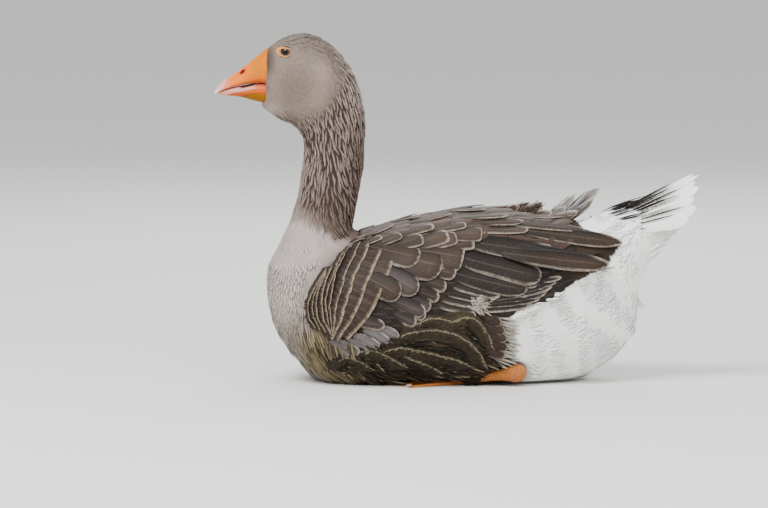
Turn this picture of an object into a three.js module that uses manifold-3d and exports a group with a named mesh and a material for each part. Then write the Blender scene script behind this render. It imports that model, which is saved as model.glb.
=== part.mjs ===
// A domestic goose lying at rest with its neck raised, life size, in millimetres.
// +Z is up, the goose faces -Y and its left side is +X. The origin is on the floor, under the belly.
// The body is one skin of ribs, parted by thin cuts. The wings lie in shallow recesses in its sides.

import * as THREE from "three";
import { mergeVertices } from "three/addons/utils/BufferGeometryUtils.js";
import Module from "manifold-3d";

const wasm = await Module();
wasm.setup();

// Driving dimensions
const GAP = 0.4; // clear space between neighbouring pieces
const TOLERANCE = 0.12; // how far a piece may be smoothed when its slivers are merged
const ROUNDNESS = 2.2; // of the body's rings: 2 is an ellipse, more is fuller at the corners
const WING_DEPTH = 9; // of the folded wing
const WING_PROUD = 4.5; // how much of that depth stands out of the body
const WING_FLARE_Y = 60; // behind this the wings stand off from the rump
const WING_FLARE = 0.12;
const FLIGHT_SET_BACK = 2.5; // how far the long feathers lie below the coverts
const WING_INNER_X = 7; // half the strip of back between the wings
const FAR_OUT = 200; // beyond the goose's side
const EYE_RADIUS = 8;
const EYE = new THREE.Vector3(11.9, -168.2, 361.3);
const BILL_BASE_Y = -192.5; // where the feathers of the face end
const TAIL_FEATHERS = 14;
const TAIL_ROOT = new THREE.Vector3(0, 180, 177.3);
const TAIL_LENGTH = 120; // of the longest feathers, from the root
const TAIL_DIP = 0.06; // how much shorter the middle pair is
const TAIL_SHORTER = 0.28; // how much shorter the outermost feathers are
const TAIL_NOTCH = 0.055; // depth of the notches between the feathers' points
const TAIL_RISE = 27.5; // degrees above the floor
const TAIL_THICKNESS = 3;
const TAIL_ROOT_RADIUS = 20; // of the arch that the tail is folded over
const TAIL_TIP_RADIUS = 50;
const TAIL_ARCH = 86; // degrees from the middle feather to the outermost
const PLUME_THICKNESS = 1.6;
const HEEL = new THREE.Vector3(74, 84, 15);
const HEEL_RADIUS = 10.5;
const ANKLE = new THREE.Vector3(58, 20, 6);
const ANKLE_RADIUS = 6;
const TOE_LENGTH = 74;
const TOE_SPREAD = 27; // degrees from the middle toe to each side toe
const FOOT_TURN = 4; // degrees that the foot points outwards
const FOOT_THICKNESS = 5;

// Ribs of the body, from the breast to the rump. Each is a rounded ring that stands across the body:
// its y, the heights of its lowest, widest and highest points, and half its width. The floor cuts them
// off flat below zero.
const bodyRibs = [
  { y: -193.5, low: 104, mid: 104, high: 104, half: 0 },
  { y: -190.5, low: 77, mid: 104, high: 129, half: 30 },
  { y: -181, low: 50, mid: 100, high: 147, half: 53 },
  { y: -160, low: 20, mid: 90, high: 158, half: 76 },
  { y: -128, low: -4, mid: 84, high: 161, half: 93 },
  { y: -88, low: -17, mid: 80, high: 162, half: 102 },
  { y: -42, low: -20, mid: 79, high: 174, half: 106 },
  { y: 8, low: -20, mid: 79, high: 184, half: 105 },
  { y: 58, low: -19, mid: 79, high: 188, half: 99 },
  { y: 104, low: -15, mid: 80, high: 187, half: 90 },
  { y: 146, low: -4, mid: 82, high: 180, half: 78 },
  { y: 176, low: 10, mid: 84, high: 171, half: 64 },
  { y: 202, low: 27, mid: 88, high: 156, half: 46 },
  { y: 217, low: 50, mid: 90, high: 132, half: 26 },
  { y: 222, low: 90, mid: 90, high: 90, half: 0 },
];

// Ribs of the head and neck, from the face down into the breast. Each is a rounded ring set across the
// neck, between a point of the throat line and one of the crown and nape line, given as [y, z].
const neckRibs = [
  { throat: [-206, 338], crown: [-206, 338], half: 0 },
  { throat: [-203, 309.5], crown: [-200, 357], half: 15 },
  { throat: [-193, 297], crown: [-188, 368.5], half: 18.5 },
  { throat: [-180, 287.5], crown: [-169, 379.5], half: 22.5 },
  { throat: [-168, 283.5], crown: [-148, 383], half: 25 },
  { throat: [-160, 277], crown: [-127, 375], half: 27 },
  { throat: [-155.5, 272], crown: [-109.5, 359], half: 28 },
  { throat: [-152.5, 266], crown: [-96, 338], half: 28 },
  { throat: [-151.5, 259], crown: [-86.5, 311], half: 27.5 },
  { throat: [-151.5, 249], crown: [-82.5, 281], half: 27.5 },
  { throat: [-153, 238], crown: [-82, 251], half: 27.5 },
  { throat: [-155, 220], crown: [-85.5, 221], half: 28 },
  { throat: [-160, 196], crown: [-90.5, 193], half: 31 },
  { throat: [-170, 172], crown: [-94, 167], half: 41 },
  { throat: [-182, 147], crown: [-90, 138], half: 59 },
  { throat: [-190, 122], crown: [-72, 105], half: 76 },
  { throat: [-180, 90], crown: [-90, 70], half: 66 },
  { throat: [-135, 80], crown: [-135, 80], half: 0 },
];

// Ribs of the rump and tail coverts, which rise from the body to the tail.
const rumpRibs = [
  { throat: [128, 110], crown: [128, 110], half: 0 },
  { throat: [138, 66], crown: [134, 160], half: 46 },
  { throat: [172, 48], crown: [152, 179], half: 60 },
  { throat: [204, 66], crown: [176, 187], half: 55 },
  { throat: [221, 100], crown: [200, 193], half: 44 },
  { throat: [236, 138], crown: [220, 200], half: 32 },
  { throat: [249, 161], crown: [236, 206], half: 22 },
  { throat: [256, 188], crown: [256, 188], half: 0 },
];

// Ribs of the bill's two halves, from inside the face to the tip.
const upperBillRibs = [
  { throat: [-186, 346], crown: [-186, 346], half: 0 },
  { throat: [-187, 327], crown: [-187, 366], half: 15.5 },
  { throat: [-200, 327.5], crown: [-201, 356.5], half: 15 },
  { throat: [-215, 325.5], crown: [-216, 344.5], half: 13.4 },
  { throat: [-229, 322.5], crown: [-230, 334.5], half: 12 },
  { throat: [-240, 318.5], crown: [-240, 327.5], half: 10 },
  { throat: [-246.5, 316], crown: [-246, 320.5], half: 6.5 },
  { throat: [-248.5, 317.5], crown: [-248.5, 317.5], half: 0 },
];
const lowerBillRibs = [
  { throat: [-186, 316], crown: [-186, 316], half: 0 },
  { throat: [-187, 305], crown: [-187, 325.6], half: 13.5 },
  { throat: [-203, 307.5], crown: [-203, 326], half: 13 },
  { throat: [-218, 311.5], crown: [-218, 323.8], half: 11.5 },
  { throat: [-231, 313], crown: [-231, 320.8], half: 10 },
  { throat: [-241, 314], crown: [-241, 316.9], half: 7 },
  { throat: [-244.5, 315.3], crown: [-244.5, 315.3], half: 0 },
];

// What the bill takes out of the face, seen from the side as [y, z]. The chin's feathers run on below it.
const faceCut = [
  [BILL_BASE_Y, 420], [BILL_BASE_Y, 304.6], [-204, 306.2], [-232, 311], [-232, 420],
];

// The folded wing seen from the side, as [y, z]: the coverts with the shoulder, then the long feathers
// behind them.
const covertEdge = [
  [-152, 62], [-153, 92], [-140, 124], [-110, 150], [-70, 180],
  [0, 214], [62, 214], [80, 192], [62, 168], [34, 158],
  [36, 142], [20, 118], [2, 90], [-12, 70], [-40, 60], [-80, 52], [-116, 46], [-142, 46],
];
// Each long feather as [root y, root z, tip y, tip z, width].
const longFeathers = [
  [30, 181, 172, 164, 26], [20, 170, 197, 150, 26], [12, 158, 184, 124, 30], [5, 146, 126, 134, 30],
  [0, 130, 112, 106, 30], [-6, 112, 96, 92, 28], [10, 120, 134, 100, 26], [-14, 92, 105, 84, 24],
  [-20, 80, 84, 74, 20],
];

// The ruffled plumes that stand up from the middle of the back, as [root y, root z, tip y, tip z,
// width], each with the x of its blade, and the ridge of skin that they grow from.
const plumes = [
  { x: -4, feather: [76, 184, 100, 197, 15] },
  { x: 1.5, feather: [90, 183, 114, 198, 15] },
  { x: -2.5, feather: [122, 178, 150, 207, 13] },
  { x: 2, feather: [134, 177, 163, 210, 13] },
  { x: -0.8, feather: [146, 175, 177, 213, 13] },
];
const plumeRidge = [
  [70, 190], [104, 189], [150, 180.5], [160, 176], [160, 170], [110, 178], [70, 181],
];

const lerp = THREE.MathUtils.lerp;
const rad = THREE.MathUtils.degToRad;

// A mesh geometry as a manifold-3d solid. A geometry that came out inside out is turned round.
function solidOf(geometry) {
  const bare = new THREE.BufferGeometry();
  bare.setAttribute("position", geometry.getAttribute("position"));
  bare.setIndex(geometry.index);
  const merged = mergeVertices(bare, 1e-4);
  const corners = new Uint32Array(merged.index.array);
  const make = (triVerts) =>
    new wasm.Manifold(
      new wasm.Mesh({ numProp: 3, vertProperties: merged.attributes.position.array, triVerts }),
    );
  const made = make(corners);
  return made.volume() < 0 ? make(corners.slice().reverse()) : made;
}

// A manifold-3d solid as a mesh geometry.
function geometryOf(solid) {
  const mesh = solid.getMesh();
  const places = new Float32Array(mesh.numVert * 3);
  for (let i = 0; i < mesh.numVert; i++) {
    places.set(mesh.vertProperties.subarray(i * mesh.numProp, i * mesh.numProp + 3), i * 3);
  }
  const geometry = new THREE.BufferGeometry();
  geometry.setAttribute("position", new THREE.BufferAttribute(places, 3));
  geometry.setIndex(new THREE.BufferAttribute(mesh.triVerts, 1));
  return geometry;
}

// A closed skin through a row of rings: a sphere whose parallels are laid along the rings. ringAt(t)
// gives a ring's low, mid and high points on the middle plane and half its width. Grow lets the skin
// out all round.
function skinThrough(ringAt, along, around, grow = 0, roundness = ROUNDNESS) {
  const skin = new THREE.SphereGeometry(1, around, along);
  const place = skin.getAttribute("position");
  const point = new THREE.Vector3();
  const bulge = (share) => Math.sign(share) * Math.abs(share) ** (2 / roundness);
  for (let i = 0; i < place.count; i++) {
    point.fromBufferAttribute(place, i);
    const t = Math.acos(THREE.MathUtils.clamp(point.y, -1, 1)) / Math.PI;
    const turn = Math.atan2(point.x, point.z);
    const ring = ringAt(t);
    const up = bulge(Math.cos(turn));
    const end = up > 0 ? ring.high : ring.low;
    const open = grow * Math.min(1, ring.half / 10); // a ring near a pole hardly grows
    const y = lerp(ring.mid.y, end.y, Math.abs(up));
    const z = lerp(ring.mid.z, end.z, Math.abs(up)) + open * up;
    place.setXYZ(i, (ring.half + open) * bulge(Math.sin(turn)), y, z);
  }
  return solidOf(skin);
}

// A smooth line through one [y, z] pair of each rib.
function lineThrough(pairs) {
  const points = pairs.map(([y, z]) => new THREE.Vector3(0, y, z));
  return new THREE.CatmullRomCurve3(points, false, "catmullrom", 0.5);
}

// The rings of bodyRibs, which stand upright.
function uprightRings(ribs) {
  const low = lineThrough(ribs.map((r) => [r.y, r.low]));
  const mid = lineThrough(ribs.map((r) => [r.y, r.mid]));
  const high = lineThrough(ribs.map((r) => [r.y, r.high]));
  const width = lineThrough(ribs.map((r) => [r.y, r.half]));
  return (t) => ({
    low: low.getPoint(t),
    mid: mid.getPoint(t),
    high: high.getPoint(t),
    half: Math.max(0, width.getPoint(t).z),
  });
}

// The rings between a throat line and a crown line. Belly is how far up the ring it is widest.
function slantedRings(ribs, belly = 0.5) {
  const throat = lineThrough(ribs.map((r) => r.throat));
  const crown = lineThrough(ribs.map((r) => r.crown));
  const width = lineThrough(ribs.map((r, i) => [i, r.half]));
  return (t) => {
    const low = throat.getPoint(t);
    const high = crown.getPoint(t);
    const mid = low.clone().lerp(high, belly);
    return { low, mid, high, half: Math.max(0, width.getPoint(t).z) };
  };
}

// A side outline of [y, z] points as a slab from one x to another, grown all round by ease.
function slab(points, fromX, toX, ease = 0) {
  const outline = new THREE.Shape(points.map(([y, z]) => new THREE.Vector2(y, z)));
  const made = new THREE.ExtrudeGeometry(outline, {
    depth: toX - fromX,
    bevelEnabled: ease > 0,
    bevelSize: ease,
    bevelThickness: ease,
    bevelSegments: 1,
  });
  // The outline's x, y and depth become y, z and x.
  made.applyMatrix4(new THREE.Matrix4().set(0, 0, 1, fromX, 1, 0, 0, 0, 0, 1, 0, 0, 0, 0, 0, 1));
  return solidOf(made);
}

// A closed outline of [y, z] points, rounded off.
function rounded(points, count) {
  const corners = points.map(([y, z]) => new THREE.Vector3(0, y, z));
  const loop = new THREE.CatmullRomCurve3(corners, true, "catmullrom", 0.5);
  return loop.getPoints(count).slice(1).map((p) => [p.y, p.z]);
}

// The side outline of one long feather: straight sides and a rounded, pointed tip.
function featherOutline([rootY, rootZ, tipY, tipZ, width]) {
  const root = new THREE.Vector2(rootY, rootZ);
  const along = new THREE.Vector2(tipY, tipZ).sub(root);
  const across = new THREE.Vector2(-along.y, along.x).normalize().multiplyScalar(width / 2);
  const widths = [[0, 0.8], [0.45, 1], [0.8, 0.92], [0.92, 0.62], [1, 0]];
  const at = (share, side) =>
    root.clone().addScaledVector(along, share).addScaledVector(across, side);
  const upper = widths.map(([share, w]) => at(share, w));
  const lower = widths.slice(0, -1).map(([share, w]) => at(share, -w));
  return [...upper, ...lower.reverse()].map((p) => [p.x, p.y]);
}

// The two sides of a solid cut by a plane, with a thin gap between them: first the side that the
// normal points to.
function partAt(solid, normal, point) {
  const n = new THREE.Vector3(...normal).normalize();
  const offset = n.dot(new THREE.Vector3(...point));
  const ahead = solid.trimByPlane(n.toArray(), offset + GAP / 2);
  const behind = solid.trimByPlane(n.clone().negate().toArray(), GAP / 2 - offset);
  return [ahead, behind];
}

function ball(centre, radius, around, along) {
  const made = new THREE.SphereGeometry(radius, around, along);
  made.translate(centre.x, centre.y, centre.z);
  return solidOf(made);
}

// The mirror image of a solid in the middle plane.
function mirrored(solid) {
  return solid.mirror([1, 0, 0]);
}

// The largest piece of a solid, without the crumbs that a cut can leave.
function largest(solid) {
  return solid.decompose().reduce((a, b) => (b.volume() > a.volume() ? b : a));
}

function joined(solids) {
  return solids.reduce((a, b) => a.add(b));
}

// The body with head, neck and rump as one solid, flat where it rests on the floor.
function wholeBody() {
  const trunk = skinThrough(uprightRings(bodyRibs), 22, 26);
  const neck = skinThrough(slantedRings(neckRibs), 30, 18);
  const rump = skinThrough(slantedRings(rumpRibs), 11, 16);
  return trunk.add(neck).add(rump).trimByPlane([0, 0, 1], 0);
}

// A skin that follows the body at a distance, a little wider at the rear, where the wings stand off
// from the rump.
function wingSkin(grow) {
  const flared = bodyRibs.map((rib) => {
    const flare = Math.max(0, rib.y - WING_FLARE_Y) * WING_FLARE;
    return { ...rib, half: rib.half > 0 ? rib.half + flare : 0 };
  });
  return skinThrough(uprightRings(flared), 18, 22, grow);
}

// The left wing's coverts, its long feathers, and the recess in the body that holds both.
function leftWing() {
  const long = (ease) =>
    joined(longFeathers.map((f) => slab(featherOutline(f), WING_INNER_X - ease, FAR_OUT, ease)));
  const edge = rounded(covertEdge, 40);
  const covertRoom = slab(edge, WING_INNER_X - GAP, FAR_OUT, GAP);
  const floor = wingSkin(WING_PROUD - WING_DEPTH);
  return {
    coverts: slab(edge, WING_INNER_X, FAR_OUT).intersect(wingSkin(WING_PROUD)).subtract(floor),
    long: long(0).intersect(wingSkin(WING_PROUD - FLIGHT_SET_BACK)).subtract(floor).subtract(covertRoom),
    recess: covertRoom.add(long(GAP)).subtract(wingSkin(WING_PROUD - WING_DEPTH - GAP)),
  };
}

// The tail: one plate folded over an arch, its end cut in points, one for each feather.
function tailFan(ease = 0) {
  const columns = TAIL_FEATHERS * 2;
  const plate = new THREE.BoxGeometry(2, 1, 1, columns, 1, 3);
  const place = plate.getAttribute("position");
  const rise = new THREE.Matrix4().makeRotationX(rad(TAIL_RISE));
  const point = new THREE.Vector3();
  for (let i = 0; i < place.count; i++) {
    point.fromBufferAttribute(place, i);
    const across = point.x; // -1 to 1, from one side to the other
    const down = point.z + 0.5; // 0 at the root, 1 at the tips
    const column = Math.round(((across + 1) / 2) * columns);
    const notch = column % 2 === 0 ? TAIL_NOTCH : 0;
    const dip = TAIL_DIP * Math.max(0, 1 - 4 * Math.abs(across));
    const length = (1 - TAIL_SHORTER * across * across - notch - dip) * TAIL_LENGTH + ease;
    const arch = lerp(TAIL_ROOT_RADIUS, TAIL_TIP_RADIUS, down);
    const radius = arch + (point.y - 0.5) * TAIL_THICKNESS + Math.sign(point.y) * ease;
    const angle = across * (rad(TAIL_ARCH) + ease / arch);
    point.set(radius * Math.sin(angle), down * length, radius * Math.cos(angle) - arch);
    point.applyMatrix4(rise).add(TAIL_ROOT);
    place.setXYZ(i, point.x, point.y, point.z);
  }
  return solidOf(plate);
}

// The ruffled plumes of the back, joined by the ridge that they grow from.
function backPlumes(ease = 0) {
  const blades = plumes.map(({ x, feather }) =>
    slab(featherOutline(feather), x - PLUME_THICKNESS / 2, x + PLUME_THICKNESS / 2, ease),
  );
  const half = WING_INNER_X - 2 * GAP;
  const ridge = slab(plumeRidge, -half, half, ease);
  return joined([ridge, ...blades]);
}

// One leg folded on the floor: the shank with its heel behind, then a webbed foot ahead of it, under
// the belly.
function leftShank(ease = 0) {
  const axis = ANKLE.clone().sub(HEEL);
  const length = axis.length();
  const profile = [[0, -1], [0.72, -0.7], [1, 0], [0.95, 0.6]].map(
    ([out, down]) => new THREE.Vector2(out * (HEEL_RADIUS + ease), down * (HEEL_RADIUS + ease)),
  );
  profile.push(new THREE.Vector2(ANKLE_RADIUS + ease, length * 0.45));
  profile.push(new THREE.Vector2(ANKLE_RADIUS + ease, length + ease));
  profile.push(new THREE.Vector2(0, length + ease));
  const shank = new THREE.LatheGeometry(profile, 14);
  shank.applyQuaternion(
    new THREE.Quaternion().setFromUnitVectors(new THREE.Vector3(0, 1, 0), axis.normalize()),
  );
  shank.translate(HEEL.x, HEEL.y, HEEL.z);
  return solidOf(shank).trimByPlane([0, 0, 1], 0);
}

function leftFoot(ease = 0) {
  const spread = rad(TOE_SPREAD);
  const sideX = TOE_LENGTH * 0.88 * Math.sin(spread);
  const sideY = -TOE_LENGTH * 0.88 * Math.cos(spread);
  const web = new THREE.Shape();
  web.moveTo(-7, 3);
  web.lineTo(-sideX, sideY);
  web.quadraticCurveTo(-TOE_LENGTH * 0.2, -TOE_LENGTH * 0.82, 0, -TOE_LENGTH);
  web.quadraticCurveTo(TOE_LENGTH * 0.2, -TOE_LENGTH * 0.82, sideX, sideY);
  web.lineTo(7, 3);
  web.closePath();
  const plate = new THREE.ExtrudeGeometry(web, {
    depth: FOOT_THICKNESS,
    curveSegments: 5,
    bevelEnabled: ease > 0,
    bevelSize: ease,
    bevelThickness: ease,
    bevelSegments: 1,
  });
  plate.rotateZ(rad(FOOT_TURN));
  plate.translate(ANKLE.x, ANKLE.y, 0);
  return solidOf(plate).trimByPlane([0, 0, 1], 0);
}

const colours = {
  grey: 0x9d9187,
  breast: 0xb9aea6,
  white: 0xe9e6de,
  brown: 0x5f5148,
  darkBrown: 0x463b36,
  orange: 0xe8843a,
  pink: 0xe7b7a4,
  eye: 0x1d1210,
};

const goose = new THREE.Group();

function show(name, solid, colour, roughness = 0.8) {
  const material = new THREE.MeshStandardMaterial({ color: colour, roughness, metalness: 0 });
  material.flatShading = true;
  const mesh = new THREE.Mesh(geometryOf(largest(solid).simplify(TOLERANCE)), material);
  mesh.name = name;
  goose.add(mesh);
}

const wing = leftWing();
const eyeRoom = ball(EYE, EYE_RADIUS + GAP, 14, 8);
const legRoom = leftShank(GAP).add(leftFoot(GAP));
const tailRoom = tailFan(GAP);
const sideRooms = joined([wing.recess, eyeRoom, legRoom]);
const flesh = wholeBody()
  .subtract(sideRooms)
  .subtract(mirrored(sideRooms))
  .subtract(tailRoom)
  .subtract(backPlumes(GAP))
  .subtract(slab(faceCut, -40, 40));

// Thin cuts part the body into the pieces that a person would name.
const [head, belowHead] = partAt(flesh, [0, -0.75, 0.66], [0, -152, 262]);
const [neckUpper, belowNeck] = partAt(belowHead, [0, 0.06, 1], [0, -120, 212]);
const [neckLower, wholeTrunk] = partAt(belowNeck, [0, -0.25, 1], [0, -120, 166]);
const [breast, behindBreast] = partAt(wholeTrunk, [0, -1, -0.35], [0, -118, 80]);
const [rump, trunk] = partAt(behindBreast, [0, 1, 0.35], [0, 188, 120]);

show("head", head, colours.grey);
show("neck_upper", neckUpper, colours.grey);
show("neck_lower", neckLower, colours.grey);
show("breast", breast, colours.breast);
show("trunk", trunk, colours.brown);
show("rump", rump, colours.white);
show("tail", tailFan(), colours.white);
show("back_plumes", backPlumes(), colours.grey);

// The bill's halves end at the face. The nail is the hard tip of the upper half.
const upperBill = (grow) => skinThrough(slantedRings(upperBillRibs, 0.2), 16, 16, grow, 2);
const lowerBill = skinThrough(slantedRings(lowerBillRibs, 0.7), 14, 14, 0, 2);
const [upperAhead] = partAt(upperBill(0), [0, -1, 0], [0, BILL_BASE_Y, 0]);
const [lowerAhead] = partAt(lowerBill, [0, -1, 0], [0, BILL_BASE_Y, 0]);
const [nail, upperHalf] = partAt(upperAhead, [0, -1, 0.45], [0, -237, 324]);
show("bill_upper", upperHalf, colours.orange, 0.5);
show("bill_nail", nail, colours.pink, 0.45);
show("bill_lower", lowerAhead.subtract(upperBill(GAP)), colours.orange, 0.5);

const left = {
  eye: [ball(EYE, EYE_RADIUS, 14, 8), colours.eye, 0.1],
  wing: [wing.coverts, colours.brown],
  flight_feathers: [wing.long.subtract(tailRoom), colours.darkBrown],
  shank: [leftShank().subtract(leftFoot(GAP)), colours.orange, 0.6],
  foot: [leftFoot(), colours.orange, 0.6],
};
for (const [name, [solid, colour, roughness]] of Object.entries(left)) {
  show(`${name}_left`, solid, colour, roughness);
  show(`${name}_right`, mirrored(solid), colour, roughness);
}

export default goose;
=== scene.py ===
"""The looks of a life-size domestic goose: skin, plumage, bill, eyes and legs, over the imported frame."""

import math

import bmesh
import bpy
import numpy as np
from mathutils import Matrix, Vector
from mathutils.bvhtree import BVHTree


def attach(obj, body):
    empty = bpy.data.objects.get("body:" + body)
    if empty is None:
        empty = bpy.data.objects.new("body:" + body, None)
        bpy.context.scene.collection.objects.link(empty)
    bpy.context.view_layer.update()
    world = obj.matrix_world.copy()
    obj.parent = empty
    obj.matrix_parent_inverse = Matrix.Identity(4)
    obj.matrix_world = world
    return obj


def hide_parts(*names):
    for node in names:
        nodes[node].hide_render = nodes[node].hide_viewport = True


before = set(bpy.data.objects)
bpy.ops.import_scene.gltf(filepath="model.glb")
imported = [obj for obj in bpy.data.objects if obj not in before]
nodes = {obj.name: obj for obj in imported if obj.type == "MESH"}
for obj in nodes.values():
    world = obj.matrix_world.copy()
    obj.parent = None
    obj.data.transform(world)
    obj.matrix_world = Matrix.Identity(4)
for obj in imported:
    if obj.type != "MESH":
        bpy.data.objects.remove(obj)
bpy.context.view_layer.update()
rng = np.random.default_rng(20)

MM = 0.001
FLESH = ["head", "neck_upper", "neck_lower", "breast", "trunk", "rump"]
SIDES = {"left": 1, "right": -1}

# Where the goose is looked at from. Side sizes are given as they look from there.
AIM = np.array([0, -0.0616, 0.1386])
DISTANCE = 7.2
ELEVATION = math.radians(5)
LENS = 306.6
SENSOR = 36
toward_camera = np.array([math.cos(ELEVATION), 0, math.sin(ELEVATION)])
camera_up = np.array([-math.sin(ELEVATION), 0, math.cos(ELEVATION)])
eye_point = AIM + toward_camera * DISTANCE


def seen_from_side(points):
    """Where points look to be on the middle plane, as [y, z] in millimetres."""
    offset = points - eye_point
    depth = -(offset @ toward_camera)
    across = offset[..., 1] / depth
    up = (offset @ camera_up) / depth
    y = across * DISTANCE + AIM[1]
    z = up * DISTANCE + AIM[2]
    return np.stack([y, z], -1) / MM


# ---------------------------------------------------------------- small helpers


def smooth(low, high, value):
    """0 below low, 1 above high, and an easy slope between."""
    t = np.clip((value - low) / (high - low), 0, 1)
    return t * t * (3 - 2 * t)


def linear(*colour):
    """A colour of three numbers up to 255 as light."""
    c = np.array(colour, float) / 255
    return np.where(c > 0.04045, ((c + 0.055) / 1.055) ** 2.4, c / 12.92)


def blend(a, b, share):
    share = np.asarray(share)[..., None]
    return np.asarray(a) * (1 - share) + np.asarray(b) * share


def painted(colour, *layers):
    """A colour under layers of others, each given as three numbers up to 255 and its share."""
    for layer, share in layers:
        colour = blend(colour, linear(*layer), share)
    return colour


def unit(vectors):
    return vectors / np.maximum(np.linalg.norm(vectors, axis=-1, keepdims=True), 1e-12)


def waves(points, seed, size):
    """A gentle random value from -1 to 1 that changes over about size metres."""
    terms = 7
    draw = np.random.default_rng(seed)
    total = np.zeros(points.shape[:-1])
    for _ in range(terms):
        way = unit(draw.normal(size=3)) * draw.uniform(0.6, 1.6) * math.tau / size
        total = total + np.sin(points @ way + draw.uniform(0, math.tau))
    return total / terms * 1.6


def yz(points):
    """How far back and how high points are, in millimetres."""
    return points[:, 1] / MM, points[:, 2] / MM


def on_left(points):
    """The points, with those of the right side mirrored to the left."""
    return np.abs(points) * [1, 0, 0] + points * [0, 1, 1]


def between(places, steps, points):
    """Where places lie on a line whose points are at steps along it."""
    return np.stack([np.interp(places, steps, points[:, k]) for k in (0, 1)], -1)


def inside(points, outline):
    """Whether points lie inside a closed outline, all seen from the side."""
    return enclosed(seen_from_side(on_left(points)), outline)


def enclosed(seen, outline):
    """Whether spots in the side view lie inside an outline there."""
    outline = np.array(outline, float)
    within = np.zeros(len(seen), bool)
    for (ay, az), (by, bz) in zip(outline, np.roll(outline, -1, axis=0)):
        level = (az > seen[:, 1]) != (bz > seen[:, 1])
        crossing = (by - ay) * (seen[:, 1] - az) / ((bz - az) or 1e-9) + ay
        within ^= level & (seen[:, 0] < crossing)
    return within


def new_object(name, mesh):
    made = bpy.data.objects.new(name, mesh)
    bpy.context.scene.collection.objects.link(made)
    return made


def smooth_shaded(mesh):
    mesh.polygons.foreach_set("use_smooth", np.ones(len(mesh.polygons), bool))


def built(name, bm):
    """A smoothly shaded object of a bmesh."""
    mesh = bpy.data.meshes.new(name)
    bm.to_mesh(mesh)
    bm.free()
    smooth_shaded(mesh)
    return new_object(name, mesh)


def joined(parts):
    """Several objects as one, under the first one's name."""
    bpy.ops.object.select_all(action="DESELECT")
    for part in parts:
        part.select_set(True)
    bpy.context.view_layer.objects.active = parts[0]
    if len(parts) > 1:
        bpy.ops.object.join()
    parts[0].select_set(False)
    return parts[0]


def own_patches(numbers, in_row):
    """A square patch of the unwrap for each numbered feather."""
    size = np.full(len(numbers), 0.9)
    return np.stack([numbers % in_row + 0.5, numbers // in_row + 0.5, size, size], -1) / in_row


def finish_piece(piece, material, replaced=()):
    """The piece takes its material, rides on the body, and stands for the nodes named."""
    piece.data.materials.clear()
    piece.data.materials.append(material)
    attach(piece, "root")
    if replaced:
        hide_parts(*replaced)
    return piece


# ---------------------------------------------------------------- materials


class Value:
    """A socket of a material's nodes that can stand in an expression."""

    def __init__(self, finish, socket):
        self.finish = finish
        self.socket = socket

    def math(self, operation, *others):
        inputs = dict(enumerate([self, *others]))
        return self.finish.node("ShaderNodeMath", {"operation": operation}, inputs)

    def __add__(self, other):
        return self.math("ADD", other)

    def __mul__(self, other):
        return self.math("MULTIPLY", other)

    def __sub__(self, other):
        return self.math("SUBTRACT", other)

    def __rsub__(self, other):
        return (self * -1) + other

    def __pow__(self, other):
        return self.math("POWER", other)

    __radd__ = __add__
    __rmul__ = __mul__

    def above(self, low, high):
        """0 below low and 1 above high, smoothly."""
        return self.finish.node(
            "ShaderNodeMapRange",
            {"interpolation_type": "SMOOTHSTEP"},
            {"Value": self, "From Min": low, "From Max": high},
        )


class Finish:
    """A material in the making."""

    def __init__(self, name, **plain):
        self.material = bpy.data.materials.new(name)
        self.material.use_nodes = True
        self.tree = self.material.node_tree
        self.shader = self.tree.nodes["Principled BSDF"]
        for socket, value in plain.items():
            self.shader.inputs[socket.replace("_", " ")].default_value = value

    def put(self, socket, value):
        if isinstance(value, Value):
            self.tree.links.new(value.socket, socket)
        else:
            socket.default_value = value

    def node(self, kind, settings=None, inputs=None, output=0):
        made = self.tree.nodes.new(kind)
        for name, value in (settings or {}).items():
            setattr(made, name, value)
        for name, value in (inputs or {}).items():
            self.put(made.inputs[name], value)
        return Value(self, made.outputs[output])

    def mix(self, a, b, share):
        """A colour between two."""
        return self.node("ShaderNodeMix", {"data_type": "RGBA"}, {0: share, 6: a, 7: b}, 2)

    def attribute(self, name, output="Color"):
        return self.node("ShaderNodeAttribute", {"attribute_name": name}, output=output)

    def parts(self, colour):
        split = self.node("ShaderNodeSeparateColor", {}, {"Color": colour})
        return [Value(self, s) for s in split.socket.node.outputs]

    def noise(self, scale, detail, vector=None):
        inputs = {"Scale": scale, "Detail": detail, "Vector": vector or self.place()}
        return self.node("ShaderNodeTexNoise", {}, inputs, "Fac")

    def place(self):
        """Object coordinates, in metres."""
        return self.node("ShaderNodeTexCoord", output="Object")

    def bump(self, height, strength, distance):
        inputs = {"Height": height, "Strength": strength, "Distance": distance}
        return self.node("ShaderNodeBump", {}, inputs, "Normal")

    def wear(self, colour, normal=None):
        self.put(self.shader.inputs["Base Color"], colour)
        if normal:
            self.put(self.shader.inputs["Normal"], normal)
        return self.material


# The first and the last of these colours are painted shade on the feathers; the other two darken barbs and
# streaks.
PAINTED_SHADE_DARK = (0.012, 0.009, 0.008, 1)
BARB_DARK = (0.02, 0.015, 0.012, 1)
STREAK_DARK = (0.018, 0.013, 0.011, 1)
COVERED_SHADE_DARK = (0.010, 0.008, 0.007, 1)


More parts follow.
